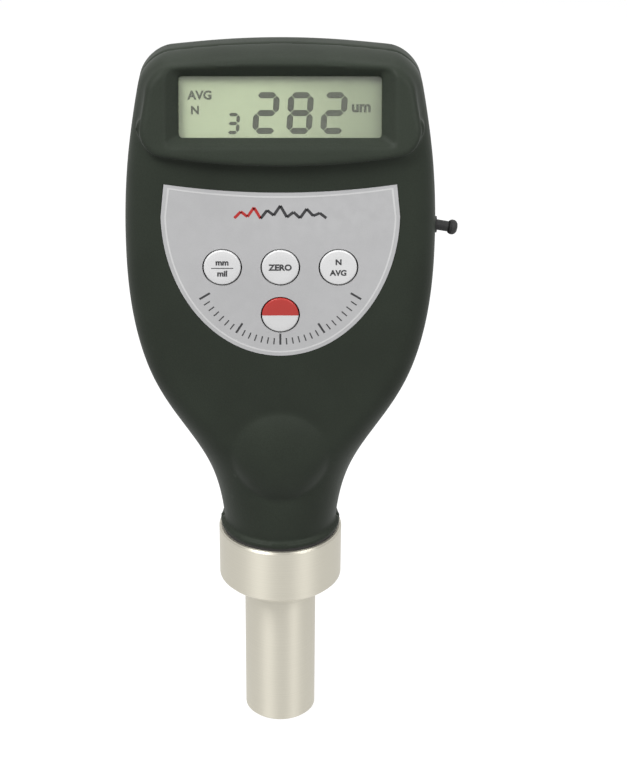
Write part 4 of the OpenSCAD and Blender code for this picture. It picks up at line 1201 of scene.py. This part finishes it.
@dataclass
class Keypad:
    """Keypad film with its print, and the four keys."""

    shop: Shop
    form: BodyForm
    half_w: float = 24.6
    below_brim: float = 11.5
    drop: float = 31.6
    rise: float = 7.0
    draw: float = 0.8
    sag: float = 1.8
    thick: float = 0.5
    ink: float = 0.02
    border_in: float = 0.75
    border_w: float = 0.35
    key_round: float = 0.3
    key_clear: float = 0.3
    cap_gap: float = 0.1
    stem_r: float = 1.8
    proud: float = 0.005
    ticks: int = 14
    tick_turn: float = 3.6
    tick_every: int = 7
    tick_in: float = 2.6
    tick_short: tuple[float, float] = (1.5, 0.13)
    tick_long: tuple[float, float] = (2.6, 0.22)
    trace_drop: float = 0.6
    trace_pitch: float = 1.35
    trace_half: float = 0.3
    trace_red: int = 4

    TRACE = (0.3, 1.7, 0.6, 2.6, 0.2, 2.0, 0.9, 3.0, 0.5, 1.6, 0.3, 2.3, 0.8, 1.4, 0.3)
    LEGENDS = {"key_units": (("mm", 1.15, 1.25), ("mil", -1.35, 1.25)), "key_zero": (("ZERO", 0, 1.3),),
               "key_average": (("N", 1.2, 1.2), ("AVG", -1.2, 1.2))}
    BAR = ((-2.3, -0.08), (2.3, -0.08), (2.3, 0.08), (-2.3, 0.08))

    def outline(self, grow: float, steps: int = 72) -> list[Point2]:
        """Outline of the film in x and z from the foot.

        Args:
            grow: Amount that it is grown by.
            steps: Steps round the lower curve.

        Returns:
            Corners of the outline.
        """
        a, top = self.half_w + grow, self.half_w + grow - self.draw
        z0 = self.form.seat + self.form.brim_z - self.below_brim
        low = [(a * math.cos(t), z0 + (self.drop + grow) * math.sin(t))
               for t in np.linspace(math.pi, 2 * math.pi, steps + 1)]
        high = [(x, z0 + self.rise + grow - self.sag * (1 - (x / top) ** 2)) for x in np.linspace(top, -top, 25)]
        return [(float(px), float(pz)) for px, pz in low + high]

    def build(self) -> None:
        """Makes the film, its print and its keys."""
        shop, front = self.shop, -self.form.face
        film = shop.prism(self.outline(0), front, front + self.thick)
        for node in KEYS:
            low, high = (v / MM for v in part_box(node))
            d = high.x - low.x + 2 * self.key_clear
            hole = shop.rod("y", d, ((low.x + high.x) / 2, front - PAST, (low.z + high.z) / 2), 3 * PAST, 96)
            film = shop.combine(film, hole, "DIFFERENCE")
        shop.piece("film_sheet", film, FILM_GREY, stands_for=["keypad_film"])
        border = self._band(self.outline(-self.border_in), self.outline(-self.border_in - self.border_w))
        self._print("film_border", border, FILM_PALE)
        self._print("film_scale", shop.strokes(self._scale(), self.ink), INK_DARK)
        trace = self._trace()
        self._print("film_trace_start", shop.strokes(trace[:self.trace_red], self.ink), INK_RED)
        self._print("film_trace", shop.strokes(trace[self.trace_red:], self.ink), INK_DARK)
        for node in KEYS:
            self._key(node)

    def _print(self, name: str, mesh: bpy.types.Mesh, finish: Finish) -> None:
        """Stands a flat print up on the film."""
        mesh.transform(face_matrix(0, -self.form.face, 0))
        self.shop.piece(name, mesh, finish)

    def _band(self, outer: Sequence[Point2], inner: Sequence[Point2]) -> bpy.types.Mesh:
        """Fills the space between two outlines with a thin band of ink.

        Args:
            outer: Corners of the outer outline.
            inner: As many corners of the inner outline.

        Returns:
            The band as a closed mesh.
        """
        n = len(outer)
        points = [(x, y, z) for z in (0.0, self.ink) for ring in (outer, inner) for x, y in ring]
        faces = []
        for i in range(n):
            j = (i + 1) % n
            faces += [[i, j, n + j, n + i], [2 * n + i, 3 * n + i, 3 * n + j, 2 * n + j],
                      [i, 2 * n + i, 2 * n + j, j], [n + i, n + j, 3 * n + j, 3 * n + i]]
        return self.shop.mesh("band", points, faces)

    def _scale(self) -> list[list[Point2]]:
        """Draws short tick marks along the film's lower curve.

        Returns:
            Corners of each mark.
        """
        z0 = self.form.seat + self.form.brim_z - self.below_brim
        marks = []
        a, b = self.half_w - self.tick_in, self.drop - self.tick_in
        for k in range(-self.ticks, self.ticks + 1):
            turn = math.radians(270 + self.tick_turn * k)
            long, half = self.tick_short if k % self.tick_every else self.tick_long
            tip = (a * math.cos(turn), z0 + b * math.sin(turn))
            inward = Vector((-math.cos(turn) / a, -math.sin(turn) / b)).normalized()
            across = Vector((-inward.y, inward.x)) * half
            root = Vector(tip) + inward * long
            marks.append([tuple(Vector(tip) - across), tuple(Vector(tip) + across),
                          tuple(root + across), tuple(root - across)])
        return marks

    def _trace(self) -> list[list[Point2]]:
        """Draws a zigzag surface trace above the keys.

        Returns:
            Corners of each stroke.
        """
        base = self.form.seat + self.form.brim_z - self.below_brim - self.trace_drop
        places = [((i - (len(self.TRACE) - 1) / 2) * self.trace_pitch, base + h) for i, h in enumerate(self.TRACE)]
        plates = []
        for a, b in zip(places, places[1:]):
            run = (Vector(b) - Vector(a)).normalized()
            across = Vector((-run.y, run.x)) * self.trace_half
            plates.append([tuple(Vector(a) - across), tuple(Vector(b) - across),
                           tuple(Vector(b) + across), tuple(Vector(a) + across)])
        return plates

    def _key(self, node: str) -> None:
        """Turns one key with its stem, and sets its legend.

        Args:
            node: Name of the key's solid.
        """
        low, high = (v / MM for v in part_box(node))
        x0, z0, r = (low.x + high.x) / 2, (low.z + high.z) / 2, (high.x - low.x) / 2
        q = self.key_round
        curve = [(r - q + q * math.cos(t), -low.y - q + q * math.sin(t)) for t in np.linspace(0, math.pi / 2, 6)]
        crown = [(r * 0.6, -low.y - 0.01), (0, -low.y - 0.03)]
        under = self.form.face - self.thick - self.cap_gap
        profile = [(0, -high.y), (self.stem_r, -high.y), (self.stem_r, under), (r, under), *curve, *crown]
        mesh = self.shop.turn(profile, 96)
        mesh.transform(face_matrix(x0, 0, z0))
        finish = KEY_TWO if node == "key_power" else KEY_WHITE
        self.shop.piece(f"{node}_cap", mesh, finish, body=node, stands_for=[node])
        for text, up, height in self.LEGENDS.get(node, ()):
            mark = self.shop.words(text, height, self.ink)
            mark.transform(face_matrix(x0, low.y - self.ink / 2 + self.proud, z0 + up))
            self.shop.piece(f"{node}_legend_{text.lower()}", mark, INK_DARK, body=node)
        if node == "key_units":
            bar = self.shop.strokes([self.BAR], self.ink)
            bar.transform(face_matrix(x0, low.y + self.proud, z0 - 0.1))
            self.shop.piece("key_units_legend_bar", bar, INK_DARK, body=node)


@dataclass
class Display:
    """Clear lens, and the reading on the display glass."""

    shop: Shop
    form: BodyForm
    lens_t: float = 1.0
    seg_t: float = 0.02
    glass_deep: float = 4.4
    slant: float = 0.06
    lens_corner: float = 0.5
    reading_drop: float = 1.2
    segment_gap: float = 0.09

    SEGMENTS = {"2": "abged", "3": "abgcd", "8": "abcdefg"}
    LARGE = (5.2, 8.4, 1.25)  # width, height and segment width
    SMALL = (2.7, 4.3, 0.7)
    READING = (("2", -2.9, 0, LARGE), ("8", 4.0, 0, LARGE), ("2", 10.9, 0, LARGE), ("3", -9.6, -2.1, SMALL))
    MARKS = (("unit", "um", 16.4, 0.0, 2.2), ("mode", "AVG", -16.3, 2.3, 1.7), ("count", "N", -17.3, -0.7, 1.6))

    def build(self) -> None:
        """Makes the lens and lays out the reading."""
        form, shop = self.form, self.shop
        w, h = form.lens[0] / 2, form.lens[1] / 2
        lens = shop.strokes([self._rounded(w, h, self.lens_corner)], self.lens_t)
        lens.transform(self._place(0, 0, form.lens_depth + self.lens_t))
        shop.piece("display_window", lens, LENS_CLEAR, stands_for=["display_lens"])
        shapes: list[list[Point2]] = []
        for digit, x, up, size in self.READING:
            shapes += self._digit(digit, x, up - self.reading_drop, *size)
        reading = shop.strokes(shapes, self.seg_t)
        reading.transform(self._place(0, 0, self.glass_deep))
        shop.piece("reading_digits", reading, SEGMENT)
        for name, text, x, up, height in self.MARKS:
            mark = shop.words(text, height, self.seg_t)
            mark.transform(self._place(x, up, self.glass_deep - self.seg_t / 2))
            shop.piece(f"reading_{name}", mark, SEGMENT)

    def _place(self, x: float, up: float, deep: float) -> Matrix:
        """Matrix from a flat drawing to the display, at a depth behind its face."""
        y, z = self.form.on_display(up, deep)
        return face_matrix(x, y, z, self.form.lean)

    @staticmethod
    def _rounded(w: float, h: float, r: float) -> list[Point2]:
        """Draws a rectangle with rounded corners.

        Args:
            w: Half its width.
            h: Half its height.
            r: Radius of its corners.

        Returns:
            Points along its edge.
        """
        return [(cx * (w - r) + r * math.cos(t), cy * (h - r) + r * math.sin(t))
                for cx, cy, start in ((1, 1, 0), (-1, 1, 90), (-1, -1, 180), (1, -1, 270))
                for t in np.radians(np.linspace(start, start + 90, 6))]

    def _digit(self, digit: str, x: float, up: float, w: float, h: float, t: float) -> list[list[Point2]]:
        """Segments of one digit, leaning a little.

        Args:
            digit: The digit to show.
            x: Its middle across.
            up: Its middle up the glass.
            w: Its width.
            h: Its height.
            t: Width of a segment.

        Returns:
            Corners of each segment.
        """
        g, hw, hh, half = self.segment_gap, w / 2, h / 2, t / 2
        level = {"a": hh - half, "g": 0.0, "d": -hh + half}
        side = hw - half
        upright = {"b": (side, 0, hh), "c": (side, -hh, 0), "e": (-side, -hh, 0), "f": (-side, 0, hh)}
        shapes = []
        for name in self.SEGMENTS[digit]:
            if name in level:
                v, end = level[name], hw - half - g
                shape = [(-end, v), (-end + half, v - half), (end - half, v - half), (end, v), (end - half, v + half),
                         (-end + half, v + half)]
            else:
                u, low, high = upright[name]
                low, high = (low + (half if low < 0 else 0) + g, high - (half if high > 0 else 0) - g)
                shape = [(u, low), (u + half, low + half), (u + half, high - half), (u, high), (u - half, high - half),
                         (u - half, low + half)]
            shapes.append([(x + px + self.slant * py, up + py) for px, py in shape])
        return shapes


@dataclass
class Carried:
    """Solids that keep their shape and get their finish."""

    shop: Shop
    soft_edge: dict[str, float] = field(default_factory=lambda: {
        "probe_collar": 0.25, "probe_foot": 0.12, "port_plug": 0.15, "neck_seal": 0.15})

    def dress(self) -> None:
        """Gives each kept solid its finish and its shading."""
        for node, finish in NODE_FINISHES.items():
            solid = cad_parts[node]
            solid.data.materials.clear()
            solid.data.materials.append(self.shop.finishes.material(finish))
            self.shop.smooth(solid.data, 32)
            if node in self.soft_edge:
                soft = solid.modifiers.new("edge", "BEVEL")
                soft.width, soft.segments = self.soft_edge[node] * MM, 3
                soft.limit_method, soft.angle_limit = "ANGLE", math.radians(35)
            log.info("%s dressed in %s", node, finish.name)


@dataclass
class Studio:
    """Pale floor, soft lamps and the camera."""

    camera_at: tuple[float, float, float] = (0.0, -372.0, 269.0)
    camera_turn: tuple[float, float, float] = (63.7, 0.0, 0.0)
    lens: float = 87.84
    shift: float = 0.0432
    floor_half: float = 3.0
    floor_shade: float = 0.3
    floor_glow: float = 0.84
    world_light: float = 0.22

    LAMPS = (  # name, place and aim in millimetres, side in metres, power in watts
        ("key_lamp", (-430, -420, 820), (0, 0, 90), 0.4, 6.4),
        ("fill_lamp", (500, -460, 560), (0, 0, 80), 0.35, 2.6),
        ("top_lamp", (0, 300, 760), (0, 0, 110), 0.5, 1.2))

    def build(self) -> None:
        """Sets up the floor, the light and the camera."""
        scene = bpy.context.scene
        scene.view_settings.view_transform = "Standard"
        self._floor()
        self._world()
        for lamp in self.LAMPS:
            self._lamp(*lamp)
        eye = bpy.data.cameras.new("camera")
        eye.lens, eye.sensor_width = self.lens, 36.0
        eye.shift_x, eye.clip_start = self.shift, 0.01
        camera = bpy.data.objects.new("camera", eye)
        camera.location = Vector(self.camera_at) * MM
        camera.rotation_euler = [math.radians(a) for a in self.camera_turn]
        scene.collection.objects.link(camera)
        scene.camera = camera

    def _floor(self) -> None:
        """Lays a pale floor that shows white to the camera and keeps the shadow."""
        half = self.floor_half
        sheet = bpy.data.meshes.new("floor")
        sheet.from_pydata([(-half, -half, 0), (half, -half, 0), (half, half, 0), (-half, half, 0)], [], [(0, 1, 2, 3)])
        paint = bpy.data.materials.new("pale_floor")
        paint.use_nodes = True
        tree = paint.node_tree
        surface = tree.nodes["Principled BSDF"]
        surface.inputs["Base Color"].default_value = (*[self.floor_shade] * 3, 1)
        surface.inputs["Roughness"].default_value = 0.9
        surface.inputs["Specular IOR Level"].default_value = 0.0
        glow = tree.nodes.new("ShaderNodeEmission")
        glow.inputs["Color"].default_value = (1, 1, 1, 1)
        path = tree.nodes.new("ShaderNodeLightPath")
        seen = tree.nodes.new("ShaderNodeMath")
        seen.operation = "MAXIMUM"
        seen_too = tree.nodes.new("ShaderNodeMath")
        seen_too.operation = "MAXIMUM"
        part = tree.nodes.new("ShaderNodeMath")
        part.operation = "MULTIPLY"
        part.inputs[1].default_value = self.floor_glow
        pick = tree.nodes.new("ShaderNodeAddShader")
        link = tree.links.new
        link(path.outputs["Is Camera Ray"], seen.inputs[0])
        link(path.outputs["Is Glossy Ray"], seen.inputs[1])
        link(seen.outputs[0], seen_too.inputs[0])
        link(path.outputs["Is Transmission Ray"], seen_too.inputs[1])
        link(seen_too.outputs[0], part.inputs[0])
        link(part.outputs[0], glow.inputs["Strength"])
        link(surface.outputs["BSDF"], pick.inputs[0])
        link(glow.outputs["Emission"], pick.inputs[1])
        link(pick.outputs["Shader"], tree.nodes["Material Output"].inputs["Surface"])
        sheet.materials.append(paint)
        floor = bpy.data.objects.new("floor", sheet)
        bpy.context.scene.collection.objects.link(floor)

    def _world(self) -> None:
        """Lights the scene evenly, with white beyond the floor."""
        world = bpy.data.worlds.new("studio")
        world.use_nodes = True
        bpy.context.scene.world = world
        tree = world.node_tree
        tree.nodes["Background"].inputs["Color"].default_value = (1, 1, 1, 1)
        path = tree.nodes.new("ShaderNodeLightPath")
        level = tree.nodes.new("ShaderNodeMapRange")
        level.inputs["To Min"].default_value = self.world_light
        level.inputs["To Max"].default_value = 1.0
        seen = tree.nodes.new("ShaderNodeMath")
        seen.operation = "MAXIMUM"
        tree.links.new(path.outputs["Is Camera Ray"], seen.inputs[0])
        tree.links.new(path.outputs["Is Glossy Ray"], seen.inputs[1])
        tree.links.new(seen.outputs[0], level.inputs["Value"])
        tree.links.new(level.outputs["Result"], tree.nodes["Background"].inputs["Strength"])

    @staticmethod
    def _lamp(name: str, place: Sequence[float], aim: Sequence[float], size: float, power: float) -> None:
        """Hangs a square soft lamp.

        Args:
            name: Name of the lamp.
            place: Where it hangs, in millimetres.
            aim: What it points at.
            size: Its side in metres.
            power: Its power in watts.
        """
        light = bpy.data.lights.new(name, "AREA")
        light.size, light.energy = size, power
        lamp = bpy.data.objects.new(name, light)
        lamp.location = Vector(place) * MM
        lamp.rotation_euler = (Vector(aim) - Vector(place)).to_track_quat("-Z", "Y").to_euler()
        bpy.context.scene.collection.objects.link(lamp)


def main() -> None:
    """Builds the gauge in order; each piece logs its face count as it is made."""
    logging.basicConfig(level=logging.INFO, format="%(name)s %(message)s")
    shop = Shop(Finishes())
    form = BodyForm.from_frame()
    keypad = Keypad(shop, form)
    Studio().build()
    FrontShell(shop, form).build(keypad.outline(0.1))
    BackHalf(shop, form).build()
    keypad.build()
    Display(shop, form).build()
    Carried(shop).dress()


if __name__ == "__main__":
    main()
